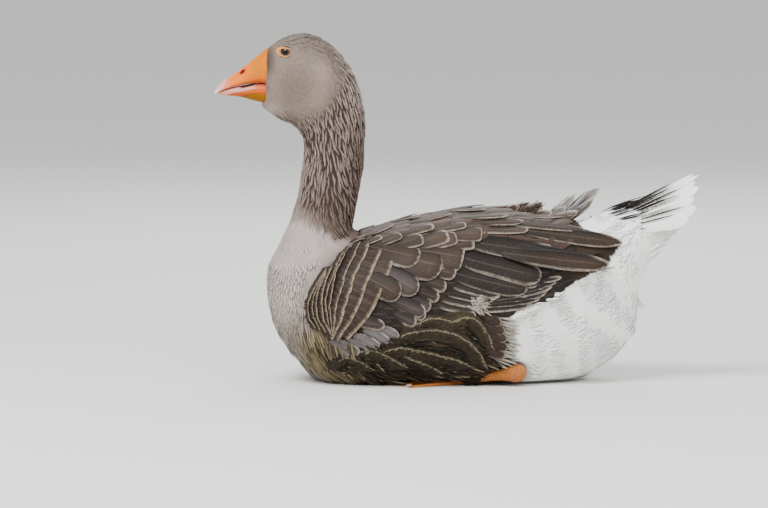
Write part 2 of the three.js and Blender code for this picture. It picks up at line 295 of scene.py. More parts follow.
def plumage_finish(
    name, barbs, gloss, root_shade, dark_to=0.62, shaft=0.0, tips=0.0, streaks=0.0, relief=1.0, lower=False
):
    """Feathers: each has its own tint, a pale edge, fine barbs and a shaft. Painted shade darkens each
    towards its root and just inside its pale edge, and with lower set along its upper edges, which the next
    feather covers.

    The vane attribute holds where on the feather a point is: across, along, distance to the rim and a
    random number. The fourth number of tint is the pale edge's width, and that of fringe where it starts.
    """
    f = Finish(name, Roughness=gloss, Specular_IOR_Level=0.12, Sheen_Weight=0.02)
    across, along, rim = f.parts(f.attribute("vane"))[:3]
    chance = f.attribute("vane", "Alpha")
    tint = f.attribute("tint")
    edge_width = f.attribute("tint", "Alpha")
    fringe = f.attribute("fringe")
    edge_start = f.attribute("fringe", "Alpha")
    side = (across - 0.5).math("ABSOLUTE") * 2
    # Barbs run out from the shaft and forwards.
    lines = (along * barbs - side * (barbs * 0.24) + chance * 9).math("SINE")
    soft = f.noise(420, 3)
    grain = {"X": across * 13 + chance * 60, "Y": along * 2.5, "Z": chance * 40}
    ragged = f.noise(1, 3, f.node("ShaderNodeCombineXYZ", {}, grain))
    # Painted shade: each feather darkens towards its root, which lies under the feathers before it.
    root = (1 - along).above(1 - dark_to, 0.95) * root_shade
    body = f.mix(tint, PAINTED_SHADE_DARK, root)
    body = f.mix(body, f.mix(tint, (1, 1, 1, 1), 0.06), (soft - 0.5).above(0.0, 0.3) * (0.5 * relief))
    body = f.mix(body, BARB_DARK, lines.above(0.2, 1.0) * (0.12 * relief))
    if streaks:
        middle = 1 - side.above(0.35, 0.8)
        streak = middle * (1 - along.above(0.55, 0.85)) * f.noise(900, 2).above(0.3, 0.5) * edge_start
        body = f.mix(body, STREAK_DARK, streak * streaks)
    else:
        edge = rim + ((ragged - 0.5) * 2.6 + (soft - 0.5) * 1.4) * edge_width
        # Painted shade for depth: each feather is darkest just inside its pale edge.
        shaded = 1 - (rim * (edge_width + 0.001) ** -1).above(1.2, 5)  # darkest just inside the pale edge
        shaded = shaded * edge_width.above(0.001, 0.01) * (along - edge_start).above(-0.2, 0.12) * 0.4
        body = f.mix(body, PAINTED_SHADE_DARK, shaded)
        pale = 1 - (edge * (edge_width + 0.001) ** -1).above(-0.1, 1.9)
        # With lower set, painted shade darkens the upper edges, which the next feather covers.
        if lower:  # the upper edges are dark, as the next feather covers them
            body = f.mix(body, COVERED_SHADE_DARK, (1 - across.above(0.03, 0.45)) * 0.75)
            pale = pale * (across.above(0.3, 0.6) * 0.75).math("MAXIMUM", along.above(0.8, 0.95))
        patchy = f.noise(150, 2).above(0.3, 0.6) * 0.5 + 0.5
        pale = pale * patchy * edge_width.above(0.001, 0.01) * (along - edge_start).above(0, 0.3)
        body = f.mix(body, fringe, pale)
    if tips:
        body = f.mix(body, fringe, along.above(0.78, 0.96) * edge_start.above(0.9, 0.98) * tips)
    if shaft:
        quill = (1 - side.above(0.03, 0.07)) * (1 - along.above(0.75, 0.97)) * shaft
        body = f.mix(body, f.mix(tint, (1, 0.9, 0.8, 1), 0.12), quill)
    height = lines * 0.35 + soft * 0.6 + (1 - side) ** 3 * 0.8
    return f.wear(body, normal=f.bump(height, 0.5 * relief, 0.0005))


def skin_finish():
    f = Finish("skin", Roughness=0.75, Specular_IOR_Level=0.2)
    speckle = f.noise(700, 4)
    tint = f.attribute("tint")
    dark = f.node("ShaderNodeVectorMath", {"operation": "MULTIPLY"}, {0: tint, 1: tint})
    colour = f.mix(tint, dark, (speckle - 0.42).above(0, 0.25) * 0.3)
    return f.wear(colour, normal=f.bump(speckle, 0.6, 0.0008))


# ---------------------------------------------------------------- the skin

SWELL = 0.45 * MM
VOXEL = 2.6 * MM
SMOOTH_ROUNDS = 7
# How far the skin lies below the coat's outline, in millimetres.
BODY_DEPTH, NECK_DEPTH, HEAD_DEPTH, FACE_DEPTH = 3.4, 2.3, 0.7, 0.9


def body_mesh(name, names):
    """One closed skin over the named nodes, with their seams and facets smoothed away."""
    bm = bmesh.new()
    for node in names:
        bm.from_mesh(nodes[node].data)
    bmesh.ops.remove_doubles(bm, verts=bm.verts, dist=1e-6)
    bm.normal_update()
    for v in bm.verts:
        v.co += v.normal * SWELL
    made = built(name, bm)
    remesh = made.modifiers.new("remesh", "REMESH")
    remesh.mode = "VOXEL"
    remesh.voxel_size = VOXEL
    ready = bpy.data.meshes.new_from_object(made.evaluated_get(bpy.context.evaluated_depsgraph_get()))
    made.modifiers.clear()
    bm = bmesh.new()
    bm.from_mesh(ready)
    every_axis = {f"use_axis_{axis}": True for axis in "xyz"}
    for _ in range(SMOOTH_ROUNDS):
        bmesh.ops.smooth_vert(bm, verts=bm.verts, factor=0.5, **every_axis)
    bm.to_mesh(made.data)
    bm.free()
    return made


def coat_depth(points):
    """How far the skin lies below the coat's outline, in metres."""
    y, z = yz(points)
    head = smooth(262, 300, z)
    neck = smooth(165, 200, z) * (1 - head) * (1 - smooth(-60, -20, y))
    face = smooth(-176, -191, y) * head
    depth = BODY_DEPTH + (HEAD_DEPTH - BODY_DEPTH) * head + (NECK_DEPTH - BODY_DEPTH) * neck
    return (depth + FACE_DEPTH * face) * MM


def positions(mesh):
    co = np.zeros(len(mesh.vertices) * 3)
    mesh.vertices.foreach_get("co", co)
    return co.reshape(-1, 3)


def normals(mesh):
    no = np.zeros(len(mesh.vertices) * 3)
    mesh.vertices.foreach_get("normal", no)
    return no.reshape(-1, 3)


under_skin = FLESH + [f"{part}_{side}" for part in ("wing", "flight_feathers", "eye") for side in SIDES]
skin = body_mesh("skin", under_skin)
spots = positions(skin.data)
spots -= normals(skin.data) * coat_depth(spots)[:, None]
# Soft creases set off the bulges of down behind the legs and under the tail. Each has a line in the side
# view, a depth and a reach.
CREASES = [
    ([(150, 78), (172, 60), (192, 48), (204, 38)], 2.0, 13),
    ([(204, 42), (197, 24), (188, 10)], 1.5, 9),
    ([(112, 66), (130, 46), (138, 24)], 1.2, 13),
    ([(196, 110), (202, 84), (208, 66)], 1.0, 12),
]
flat = seen_from_side(on_left(spots))
for line, depth, reach in CREASES:
    line = np.array(line, float)
    steps = np.linspace(0, len(line) - 1, 24)
    marks = between(steps, range(len(line)), line)
    gap = np.sqrt(((flat[:, None] - marks[None]) ** 2).sum(-1)).min(1)
    spots -= normals(skin.data) * (depth * MM * np.exp(-((gap / reach) ** 2)))[:, None]
spots[:, 2] = np.maximum(spots[:, 2], 0.0003)
skin.data.vertices.foreach_set("co", spots.ravel())
skin.data.update()
smooth_shaded(skin.data)


# ---------------------------------------------------------------- markings

GREY = linear(148, 132, 120)
CHEEK = linear(124, 110, 100)
CROWN = linear(122, 109, 99)
LORES = linear(90, 75, 66)
CHIN = linear(176, 162, 152)
RIDGE = linear(144, 130, 121)
RIDGE_BACK = linear(100, 82, 72)
# The colour of the painted shade in the neck's grooves comes next.
GROOVE_SHADE = linear(54, 40, 33)
BREAST = linear(176, 165, 159)
BREAST_LOW = linear(132, 124, 112)
DUSK = linear(104, 90, 78)
STRAND = linear(108, 96, 72)
BROWN = linear(56, 44, 35)
FLANK = linear(41, 34, 20)
RUST = linear(42, 28, 17)
WHITE = linear(252, 252, 248)
WHITE_SHADE = linear(228, 231, 228)
CREAM = linear(142, 126, 105)
PALE = linear(166, 154, 139)
NEAR_BLACK = linear(42, 36, 34)

# The folded wing and the brown back, seen from the side.
WING_OUTLINE = [
    (-140, 58), (-147, 75), (-146, 92), (-139, 108), (-124, 128), (-106, 144), (-88, 152), (-84, 166),
    (-60, 195), (60, 210), (112, 205), (128, 191), (149, 178), (157, 167), (175, 161), (199, 149),
    (184, 127), (172, 119), (136, 101), (110, 86), (88, 76), (60, 70), (34, 66), (0, 60), (-40, 56),
    (-80, 50), (-116, 46),
]


def neck_line(y):
    """The height at which the ridged neck gives way to the smooth breast."""
    return 185 - 0.486 * np.maximum(y + 166, -6)


def ridged(points):
    """How ridged the coat is: not on the cheeks, a little on the crown, fully on the neck."""
    y, z = yz(points)
    return smooth(34, 64, np.hypot(y + 160, z - 338)) * smooth(-186, -176, y)


def markings(points):
    """The coat's colour at each point, the same on skin and feathers."""
    y, z = yz(points)
    x = np.abs(points[:, 0]) / MM
    drift = waves(points, 3, 0.03)
    fine = waves(points, 4, 0.009)
    colour = np.repeat(BREAST[None], len(points), 0)
    colour = blend(colour, BREAST_LOW, smooth(110, 40, z))
    neck = smooth(-7, 7, z - neck_line(y) + 3 * drift)
    rear = smooth(-125, -95, y - 0.1 * (z - 200)) * smooth(330, 260, z)
    rear = np.maximum(rear, smooth(-158, -122, y) * smooth(238, 200, z))
    colour = blend(colour, blend(RIDGE, RIDGE_BACK, 0.8 * rear), neck)
    head = 1 - ridged(points)
    face = blend(GREY, CHEEK, smooth(44, 4, np.hypot(y + 160, z - 325)))
    face = blend(face, CROWN, smooth(20, 48, z - 322 + 0.25 * (y + 150) - 0.15 * x))
    face = blend(face, LORES, smooth(16, 4, np.hypot(y + 191, (z - 354) * 0.6)))
    face = blend(face, CHIN, 0.8 * smooth(13, 4, np.hypot(y + 184, (z - 298) * 1.2)))
    # Fine dark streaks follow the crown and the nape.
    middle = np.hypot(y + 152, (z - 330) * 0.92)
    streak = np.sin(middle * math.tau / 4.2 + 3.4 * waves(points, 5, 0.014) + 1.2 * fine)
    crown = smooth(26, 40, middle) * smooth(-184, -166, y) * smooth(326, 342, z)
    dark = smooth(0.1, 0.9, streak) * (0.25 + 0.75 * crown) * smooth(-188, -172, y)
    face = blend(face, face * 0.45, dark)
    colour = blend(colour, face, head * neck)
    # The streaked sides of the breast and the flank.
    side = smooth(-168, -146, y) * smooth(82, 66, z + 0.25 * (y + 140)) * smooth(35, 60, x)
    colour = blend(colour, STRAND, side * (1 - neck))
    flank = smooth(-112, -90, y) * smooth(98, 80, z - 0.05 * y)
    colour = blend(colour, blend(FLANK, RUST, smooth(38, 12, z)), flank)
    wing = inside(points, WING_OUTLINE) * 1.0
    # The brown fades out over the front of the shoulder, and the breast is darker there.
    shifts = [inside(points + np.array([0, k * MM, 0]), WING_OUTLINE) for k in range(-9, 22, 3)]
    wing = np.where(y < -70, np.mean(shifts[:4], axis=0), wing)
    dusk = np.mean(shifts, axis=0) * smooth(-70, -80, y) * smooth(60, 90, z) * (1 - neck)
    colour = blend(colour, DUSK, 0.75 * dusk)
    neck = neck * smooth(-74, -84, y)
    back = np.maximum(smooth(-92, -80, y) * smooth(84, 100, z), wing) * (1 - neck)
    colour = blend(colour, BROWN, back)
    # White behind the legs, under the tail and over the rump.
    edge = y - 76 - 0.18 * (60 - z) + 4 * drift
    vent = smooth(-5, 5, edge) * smooth(114, 100, z - 0.35 * (y - 120))
    rump = smooth(136, 146, y + 3 * drift) * smooth(100, 112, z)
    belly = smooth(52, 30, x) * smooth(26, 8, z) * smooth(-70, -20, y)
    rear = smooth(166, 176, y)
    white = np.maximum.reduce([vent, rump, belly, rear]) * (1 - wing)
    colour = blend(colour, blend(WHITE, WHITE_SHADE, 0.5 + 0.5 * drift), white)
    return colour * (1 + 0.07 * drift + 0.05 * fine)[:, None]


def groove_shade(points):
    """How much painted shade darkens the skin between the feathers, in the neck's grooves."""
    y, z = yz(points)
    return smooth(0, 22, z - neck_line(y)) * ridged(points) * smooth(-74, -84, y)


def set_colour(mesh, name, colours):
    """A colour for each point, as four numbers."""
    made = mesh.attributes.new(name, "FLOAT_COLOR", "POINT")
    made.data.foreach_set("color", np.ascontiguousarray(colours, np.float32).ravel())


def with_fourth(colours, fourth):
    column = np.broadcast_to(np.asarray(fourth, float), colours.shape[:-1])
    return np.concatenate([colours, column[..., None]], -1)


skin_tint = markings(spots)
whiteness = smooth(0.4, 0.7, skin_tint.mean(1))
# The skin is a fifth darker than the coat's markings, except where they are white, and painted shade
# darkens it in the neck's grooves.
skin_tint = blend(skin_tint * (0.8 + 0.2 * whiteness)[:, None], GROOVE_SHADE, groove_shade(spots))
set_colour(skin.data, "tint", with_fourth(skin_tint, 1))


# ---------------------------------------------------------------- the skin's own unwrap


def unwrap(piece):
    """Lays the faces of a piece out flat."""
    bpy.ops.object.select_all(action="DESELECT")
    bpy.context.view_layer.objects.active = piece
    piece.select_set(True)
    piece.data.uv_layers.new(name="OFBake")
    bpy.ops.object.mode_set(mode="EDIT")
    bpy.ops.mesh.select_all(action="SELECT")
    bpy.ops.uv.smart_project(angle_limit=math.radians(60), island_margin=0.002)
    bpy.ops.object.mode_set(mode="OBJECT")
    piece.select_set(False)


unwrap(skin)
tree = BVHTree.FromPolygons(
    [Vector(p) for p in spots], [tuple(p.vertices) for p in skin.data.polygons], epsilon=0
)
loop_uv = np.zeros(len(skin.data.loops) * 2)
skin.data.uv_layers["OFBake"].data.foreach_get("uv", loop_uv)
loop_uv = loop_uv.reshape(-1, 2)
face_starts = np.zeros(len(skin.data.polygons), int)
skin.data.polygons.foreach_get("loop_start", face_starts)
face_uv = loop_uv[face_starts]


# ---------------------------------------------------------------- the lie of the coat

# The way that feathers point, seen from the left side: y, z and degrees above straight back.
LIE = np.array([
    (-188, 362, 45), (-170, 378, 20), (-148, 383, 0), (-126, 375, -35), (-108, 358, -55),
    (-95, 335, -72), (-86, 310, -82), (-186, 345, 20), (-182, 325, -5), (-168, 361, 5),
    (-150, 365, -12), (-165, 335, -20), (-140, 345, -40), (-120, 340, -55), (-195, 302, -20),
    (-178, 295, -35), (-160, 290, -60), (-165, 310, -40), (-140, 310, -65), (-115, 310, -75),
    (-150, 265, -97), (-130, 270, -85), (-100, 270, -76), (-84, 280, -86), (-150, 240, -110),
    (-132, 240, -98), (-112, 240, -78), (-95, 240, -70), (-84, 240, -84), (-155, 210, -114),
    (-138, 208, -98), (-115, 205, -78), (-95, 205, -66), (-88, 205, -76), (-166, 185, -112),
    (-135, 180, -85), (-110, 170, -60), (-95, 160, -45), (-182, 150, -98), (-190, 110, -90),
    (-180, 70, -75), (-160, 35, -60), (-130, 10, -55), (-150, 150, -78), (-150, 110, -74),
    (-152, 70, -76), (-142, 40, -70), (-100, 150, -20), (-60, 172, 5), (0, 186, 2), (60, 190, 0),
    (120, 186, 0), (160, 182, 5), (-116, 50, -80), (-92, 25, -48), (-50, 50, -25), (-40, 20, -35),
    (0, 50, -18), (0, 15, -32), (50, 50, -20), (60, 15, -40), (100, 60, 8), (100, 20, -5),
    (140, 60, 22), (150, 20, 12), (180, 60, 38), (195, 40, 45), (190, 100, 48), (210, 90, 60),
    (215, 130, 60), (235, 160, 52), (190, 140, 36), (200, 185, 27), (235, 200, 27), (180, 175, 15),
    (150, 110, 15), (120, 100, 5), (-60, 0, 0), (0, 0, 0), (80, 0, 0),
], float)


def lie(points, outward, wander):
    """The way that the coat lies at each point, along the skin."""
    flat = points[:, 1:] / MM
    gap = ((flat[:, None, :] - LIE[None, :, :2]) ** 2).sum(-1) + 9
    weight = gap ** -2
    weight /= weight.sum(1, keepdims=True)
    angles = np.radians(LIE[:, 2])
    back = weight @ np.cos(angles)
    up = weight @ np.sin(angles)
    turn = np.radians(wander) * (waves(points, 8, 0.02) + 0.7 * waves(points, 9, 0.007))
    back, up = back * np.cos(turn) - up * np.sin(turn), up * np.cos(turn) + back * np.sin(turn)
    ways = np.stack([np.zeros_like(back), back, up], -1)
    ways -= outward * (ways * outward).sum(-1, keepdims=True)
    return unit(ways)


# ---------------------------------------------------------------- feather shapes


class Vane:
    """One feather's shape: a cambered vane, closed below, that grows out of a point and ends in one.

    widths are (along, half width) pairs. ribs are the columns from edge to edge, and under those of the
    underside. camber raises the middle.
    """

    def __init__(self, widths, ribs=(-1, 0, 1), camber=1.0, under=()):
        top = len(ribs)
        ribs = (*ribs, *under)
        columns = len(ribs)
        rows = len(widths)
        bm = bmesh.new()
        bmesh.ops.create_grid(bm, x_segments=columns, y_segments=rows - 1, size=1)
        for v in bm.verts:
            column = round((v.co.x + 1) / 2 * columns) % columns
            along, wide = widths[round((v.co.y + 1) / 2 * (rows - 1))]
            rib = ribs[column]
            rise = camber if column < top else -0.1
            v.co = (rib * wide, along, rise * (1 - rib * rib) * min(1, wide * 1.6))
        bmesh.ops.remove_doubles(bm, verts=bm.verts, dist=1e-4)
        bmesh.ops.dissolve_degenerate(bm, edges=bm.edges, dist=1e-5)
        bmesh.ops.recalc_face_normals(bm, faces=bm.faces)
        bm.verts.ensure_lookup_table()
        bm.verts.index_update()
        self.points = np.array([v.co[:] for v in bm.verts])
        self.starts = np.cumsum([0] + [len(f.verts) for f in bm.faces][:-1])
        self.corners = np.array([v.index for f in bm.faces for v in f.verts])
        self.mirrored = np.array([v.index for f in bm.faces for v in reversed(f.verts)])
        self.loops = len(self.corners)
        bm.free()
        self.across = self.points[:, 0]
        self.along = self.points[:, 1]
        self.up = self.points[:, 2]
        self.wide = np.interp(self.along, [w[0] for w in widths], [w[1] for w in widths])


BROAD = (-1, -0.86, -0.45, 0, 0.45, 0.86, 1)
BELOW = (0.6, 0, -0.6)


def broad(*widths):
    """A broad feather, with ribs below it too."""
    return Vane([(0, 0), *widths, (1, 0)], BROAD, 1, BELOW)


TUFT = Vane([(0, 0), (0.3, 0.9), (0.68, 0.8), (1, 0)])
LOCK = Vane([(0, 0), (0.2, 0.85), (0.55, 1), (0.85, 0.6), (1, 0)])
PLAIN = Vane([(0, 0), (0.3, 0.8), (0.62, 1), (0.87, 0.75), (1, 0)], ribs=(-1, -0.5, 0.5, 1), camber=0.6)
ROUND = broad((0.15, 0.6), (0.4, 0.9), (0.65, 1), (0.82, 0.93), (0.92, 0.72), (0.975, 0.4))
BLUNT = broad((0.15, 0.6), (0.4, 0.9), (0.7, 1), (0.88, 0.98), (0.955, 0.86), (0.985, 0.6))
SQUARE = broad((0.2, 0.7), (0.5, 0.95), (0.8, 1), (0.93, 1), (0.975, 0.93), (0.993, 0.7))
BRISTLED = broad((0.14, 0.6), (0.4, 0.92), (0.7, 1), (0.84, 0.88), (0.92, 0.6), (0.965, 0.25))
LONG = Vane(
    [(0, 0), (0.1, 0.5), (0.25, 0.8), (0.4, 0.94), (0.55, 1), (0.68, 0.99), (0.78, 0.92), (0.86, 0.8),
     (0.92, 0.62), (0.965, 0.4), (0.99, 0.2), (1, 0)],
    ribs=(-1, -0.84, 0, 0.84, 1), camber=1, under=(0.5, -0.5),
)
POINTED = broad((0.12, 0.6), (0.35, 0.95), (0.6, 1), (0.78, 0.86), (0.9, 0.55), (0.96, 0.28))

FAR_OFF = 9


def joined_feathers(name, vane, places, tint, fringe, patch, lengths, widths, chance, mirrored=False):
    """Many feathers of one shape as one mesh. places holds every point of every feather.

    tint and fringe are a colour and a fourth number for each feather. patch is each feather's corner on the
    unwrap and the size of its patch there.
    """
    count, points = places.shape[:2]
    mesh = bpy.data.meshes.new(name)
    mesh.vertices.add(count * points)
    mesh.vertices.foreach_set("co", np.ascontiguousarray(places, np.float32).ravel())
    offsets = np.arange(count)[:, None]
    corners = vane.mirrored if mirrored else vane.corners
    mesh.loops.add(count * vane.loops)
    mesh.loops.foreach_set("vertex_index", (corners[None] + offsets * points).ravel().astype(np.int32))
    mesh.polygons.add(count * len(vane.starts))
    starts = vane.starts[None] + offsets * vane.loops
    mesh.polygons.foreach_set("loop_start", starts.ravel().astype(np.int32))
    mesh.update(calc_edges=True)
    smooth_shaded(mesh)
    per_point = (count, points)
    side_gap = (1 - np.abs(vane.across) / np.maximum(vane.wide, 0.02)) * vane.wide
    if vane is SQUARE:
        side_gap = side_gap + FAR_OFF  # only the tips of these are pale
    tip_gap = (1 - vane.along)[None] * (lengths / widths * 2)[:, None]
    rim = np.minimum(side_gap[None], tip_gap) * (widths / 2)[:, None] / (10 * MM)
    across = np.broadcast_to(vane.across / 2 + 0.5, per_point)
    along = np.broadcast_to(vane.along, per_point)
    luck = np.broadcast_to(chance[:, None], per_point)
    set_colour(mesh, "vane", np.stack([across, along, rim, luck], -1))
    set_colour(mesh, "tint", np.broadcast_to(tint[:, None], (*per_point, 4)))
    set_colour(mesh, "fringe", np.broadcast_to(fringe[:, None], (*per_point, 4)))
    flat = np.stack([vane.across / 2, vane.along - 0.5], -1)
    uv = patch[:, None, :2] + flat[None, corners] * patch[:, None, 2:]
    layer = mesh.uv_layers.new(name="OFBake")
    layer.data.foreach_set("uv", np.ascontiguousarray(uv, np.float32).ravel())
    return new_object(name, mesh)


# ---------------------------------------------------------------- scattering the coat


def skin_triangles():
    """The skin's triangles, as the numbers of their points, and the face that each belongs to."""
    skin.data.calc_loop_triangles()
    corners = np.zeros(len(skin.data.loop_triangles) * 3, int)
    skin.data.loop_triangles.foreach_get("vertices", corners)
    faces = np.zeros(len(skin.data.loop_triangles), int)
    skin.data.loop_triangles.foreach_get("polygon_index", faces)
    return corners.reshape(-1, 3), faces


skin_corners, triangle_face = skin_triangles()
skin_normals = normals(skin.data)
triangle = spots[skin_corners]
first_edges, second_edges = triangle[:, 1] - triangle[:, 0], triangle[:, 2] - triangle[:, 0]
areas = np.linalg.norm(np.cross(first_edges, second_edges), axis=1) / 2


def sprinkle(per_mm2, wanted):
    """Random points on the skin: their places, outward ways and places on the unwrap."""
    middle = triangle.mean(1)
    weight = areas * wanted(middle)
    share = weight / weight.sum()
    count = int(weight.sum() / MM**2 * per_mm2)
    chosen = rng.choice(len(share), size=count, p=share)
    a, b = rng.random((2, count))
    turned = a + b > 1
    a[turned], b[turned] = 1 - a[turned], 1 - b[turned]
    c = 1 - a - b
    corners = triangle[chosen]
    points = corners[:, 0] * c[:, None] + corners[:, 1] * a[:, None] + corners[:, 2] * b[:, None]
    out = skin_normals[skin_corners[chosen]]
    outward = unit(out[:, 0] * c[:, None] + out[:, 1] * a[:, None] + out[:, 2] * b[:, None])
    return points, outward, face_uv[triangle_face[chosen]]


def spaced(points, ways, outward, apart_along, apart_across):
    """The points that keep their distance, which is longer along the coat than across it."""
    sides = np.cross(outward, ways)
    cell = float(apart_along.max())
    keys = np.floor(points / cell).astype(int)
    grid = {}
    kept = []
    around = [(i, j, k) for i in (-1, 0, 1) for j in (-1, 0, 1) for k in (-1, 0, 1)]
    for n in range(len(points)):
        key = tuple(keys[n])
        here = points[n]
        near = [m for i, j, k in around for m in grid.get((key[0] + i, key[1] + j, key[2] + k), ())]
        if near:
            offset = points[near] - here
            along = offset @ ways[n] / apart_along[n]
            across = offset @ sides[n] / apart_across[n]
            if (along * along + across * across < 1).any():
                continue
        kept.append(n)
        grid.setdefault(key, []).append(n)
    return np.array(kept)


SUNK = 0.4 * MM  # how deep the roots lie
TUFT_PATCH = 0.003


def laid(vane, roots, ways, outward, length, width, height, lift, curl, bend):
    """Feathers that lie along the skin from their roots. Lift raises the tips, and curl bends them down."""
    sides = np.cross(ways, outward)
    t = vane.along[None, :, None]
    span = length[:, None, None]
    rise = lift[:, None, None] * t - curl[:, None, None] * t * t
    places = roots[:, None] + ways[:, None] * t * span + outward[:, None] * (rise * span - SUNK)
    each = (len(roots), 1, 1)
    bends = rng.normal(0, 1, each) * bend * np.sin(t * 5 + rng.uniform(0, 6, each))
    across = vane.across[None, :, None] * width[:, None, None] / 2 + bends * np.minimum(1, 2 * t)
    places = places + sides[:, None] * across
    return places + outward[:, None] * vane.up[None, :, None] * height[:, None, None]


def coat(
    name, vane, density, wanted, apart, size, lift, tint, material, wander, bend=0.0, shades=0.07
):
    """One tract of feathers. apart and size give numbers in millimetres for each point."""
    points, outward, uv = sprinkle(density, wanted)
    ways = lie(points, outward, wander)
    gap_along, gap_across = apart(points)
    kept = spaced(points, ways, outward, gap_along * MM, gap_across * MM)
    points, outward, uv, ways = points[kept], outward[kept], uv[kept], ways[kept]
    count = len(points)
    length, width, height = (v * MM for v in size(points))
    length = length * rng.uniform(0.85, 1.18, count)
    width = width * rng.uniform(0.85, 1.15, count)
    rise, curl = lift(points)
    rise = rise * rng.uniform(0.6, 1.4, count)
    places = laid(vane, points, ways, outward, length, width, height, rise, curl, bend)
    places[..., 2] = np.maximum(places[..., 2], 0.0002)
    tints, fringes = tint(points)
    shade = rng.normal(1, shades, count)
    tints[:, :3] *= shade[:, None]
    patches = np.concatenate([uv, np.full((count, 2), TUFT_PATCH)], 1)
    made = joined_feathers(name, vane, places, tints, fringes, patches, length, width, rng.random(count))
    return finish_piece(made, material)


def flat_numbers(*values):
    return lambda points: [np.full(len(points), v, float) for v in values]


# ---------------------------------------------------------------- the tracts of small feathers


def eye_gap(points):
    """Distance from the eye's opening, seen from the side, in millimetres."""
    y, z = yz(points)
    return np.hypot((y + 169) / 1.25, z - 361.3)


def head_part(p):
    """The face and the crown, around the eye and behind the bill."""
    y, z = yz(p)
    on_head = (ridged(p) < 0.25) & (z > 270) & (y < -80)
    return on_head * (eye_gap(p) > 6.6) * (y > -191.5 - (z < 305) * 16)


def neck_part(p):
    """The ridged neck, down to the smooth breast."""
    y, z = yz(p)
    return (z > neck_line(y) - 3) * (y < -80) * (ridged(p) > 0.02) * 1.0


def wing_area(p):
    return inside(p, WING_OUTLINE) * 1.0


def plain_tint(points):
    return with_fourth(markings(points), 0), with_fourth(np.repeat(CREAM[None], len(points), 0), 1)


def white_tint(points):
    shade = blend(WHITE, WHITE_SHADE, 0.5 + 0.5 * waves(points, 3, 0.03))
    return with_fourth(shade, 0), with_fourth(shade, 1)


fine_coat = plumage_finish("fine_feathers", 26, 0.7, 0.0, relief=0.6)
ridge_coat = plumage_finish("ridged_feathers", 30, 0.65, 0.6)
body_coat = plumage_finish("body_feathers", 34, 0.65, 0.08, relief=0.45)
strand_coat = plumage_finish("strands", 40, 0.65, 0.5, tips=0.25)
frayed_coat = plumage_finish("frayed_feathers", 60, 0.65, 0.5, dark_to=0.95, tips=0.9)
plume_coat = plumage_finish("plume_feathers", 60, 0.6, 0.3, shaft=0.2, relief=0.5)
white_coat = plumage_finish("white_feathers", 34, 0.7, 0.0, relief=0.12)
wing_coat = plumage_finish("wing_feathers", 90, 0.5, 0.8, dark_to=0.95, shaft=0.2, relief=0.6, lower=True)


def face_size(p):
    near = smooth(-191, -180, yz(p)[0])
    return 3.4 + 2.2 * near, 1.4 + 0.4 * near, 0.09 + 0.15 * near


coat(
    "head_feathers", TUFT, 1.1, head_part,
    flat_numbers(2.1, 1.05), face_size, flat_numbers(0.05, 0.045), plain_tint,
    fine_coat, wander=8, shades=0.065,
)


def neck_size(p):
    y, z = yz(p)
    grown = ridged(p) * (0.8 + 0.2 * smooth(-150, -120, y))
    fade = smooth(-5, 16, z - neck_line(y))
    return 5 + 15 * grown, 1.3 + 1.6 * grown, (0.25 + 1.0 * grown) * (0.3 + 0.7 * fade)


coat(
    "neck_feathers", LOCK, 0.5, neck_part,
    lambda p: [neck_size(p)[0] * 0.5, neck_size(p)[1] * 0.8],
    neck_size, flat_numbers(0.07, 0.06), plain_tint,
    ridge_coat, wander=14, bend=0.8 * MM,
)


def breast_part(p):
    """The breast, up to the shoulder's front edge."""
    y, z = yz(p)
    ahead = np.array([0, 3 * MM, 0])
    wing = np.where(z > 112, wing_area(p + 3 * ahead), wing_area(p - ahead))
    return (z < neck_line(y) + 5) * (y < -80) * (1 - wing) * 1.0


coat(
    "breast_feathers", LOCK, 0.4, breast_part,
    flat_numbers(4.6, 2.6), flat_numbers(14, 4.6, 0.2), flat_numbers(0.04, 0.035), plain_tint,
    body_coat, wander=7, shades=0.035,
)

coat(
    "white_feathers", LOCK, 0.55,
    lambda p: ((yz(p)[0] > 60) & (wing_area(p) < 0.5) & (markings(p).mean(1) > 0.35)) * 1.0,
    flat_numbers(3.7, 2.3), flat_numbers(13, 4.4, 0.04), flat_numbers(0.045, 0.035), white_tint,
    white_coat, wander=8, shades=0.015, bend=0.6 * MM,
)

STRAW = linear(138, 126, 100)
STRAW_TIP = linear(150, 138, 112)
DOWN_GREY = linear(172, 164, 152)


def flank_part(p):
    """From the breast to the hip, but for the wing, the heel and what is white below."""
    y, z = yz(p)
    reach = (y > -156) & (y < 64) & (z < 84) & (z > 2 + 26 * smooth(10, 40, y))
    coloured = (markings(p).mean(1) < 0.3) | (z > 26)
    return (reach & (wing_area(p) < 0.5) & (np.hypot(y - 78, z - 8) > 22) & coloured) * 1.0


def flank_tint(points):
    """Strands in many browns, some of them pale."""
    y = yz(points)[0]
    base = markings(points)
    luck = rng.random(len(points))
    tint = base * ((0.55 + 0.8 * luck) * (1 + 0.4 * smooth(-112, -138, y)))[:, None]
    tint = blend(tint, STRAW, smooth(0.82, 0.95, luck) * 0.8)
    tint = blend(tint, DOWN_GREY, smooth(42, 56, y) * (luck > 0.15))
    return with_fourth(tint, 0), with_fourth(np.repeat(STRAW_TIP[None], len(points), 0), 1)


coat(
    "flank_feathers", LOCK, 0.45, flank_part,
    flat_numbers(8, 2.5), flat_numbers(25, 3.4, 0.8), flat_numbers(0.10, 0.08), flank_tint,
    strand_coat, wander=10,
)


# ---------------------------------------------------------------- the sides of the body, unrolled

WRAP_STEP = 2.5 * MM
FRONT, REAR = -0.178, 0.213
OVER_THE_BACK, UNDER_THE_BELLY = -0.24, 0.17


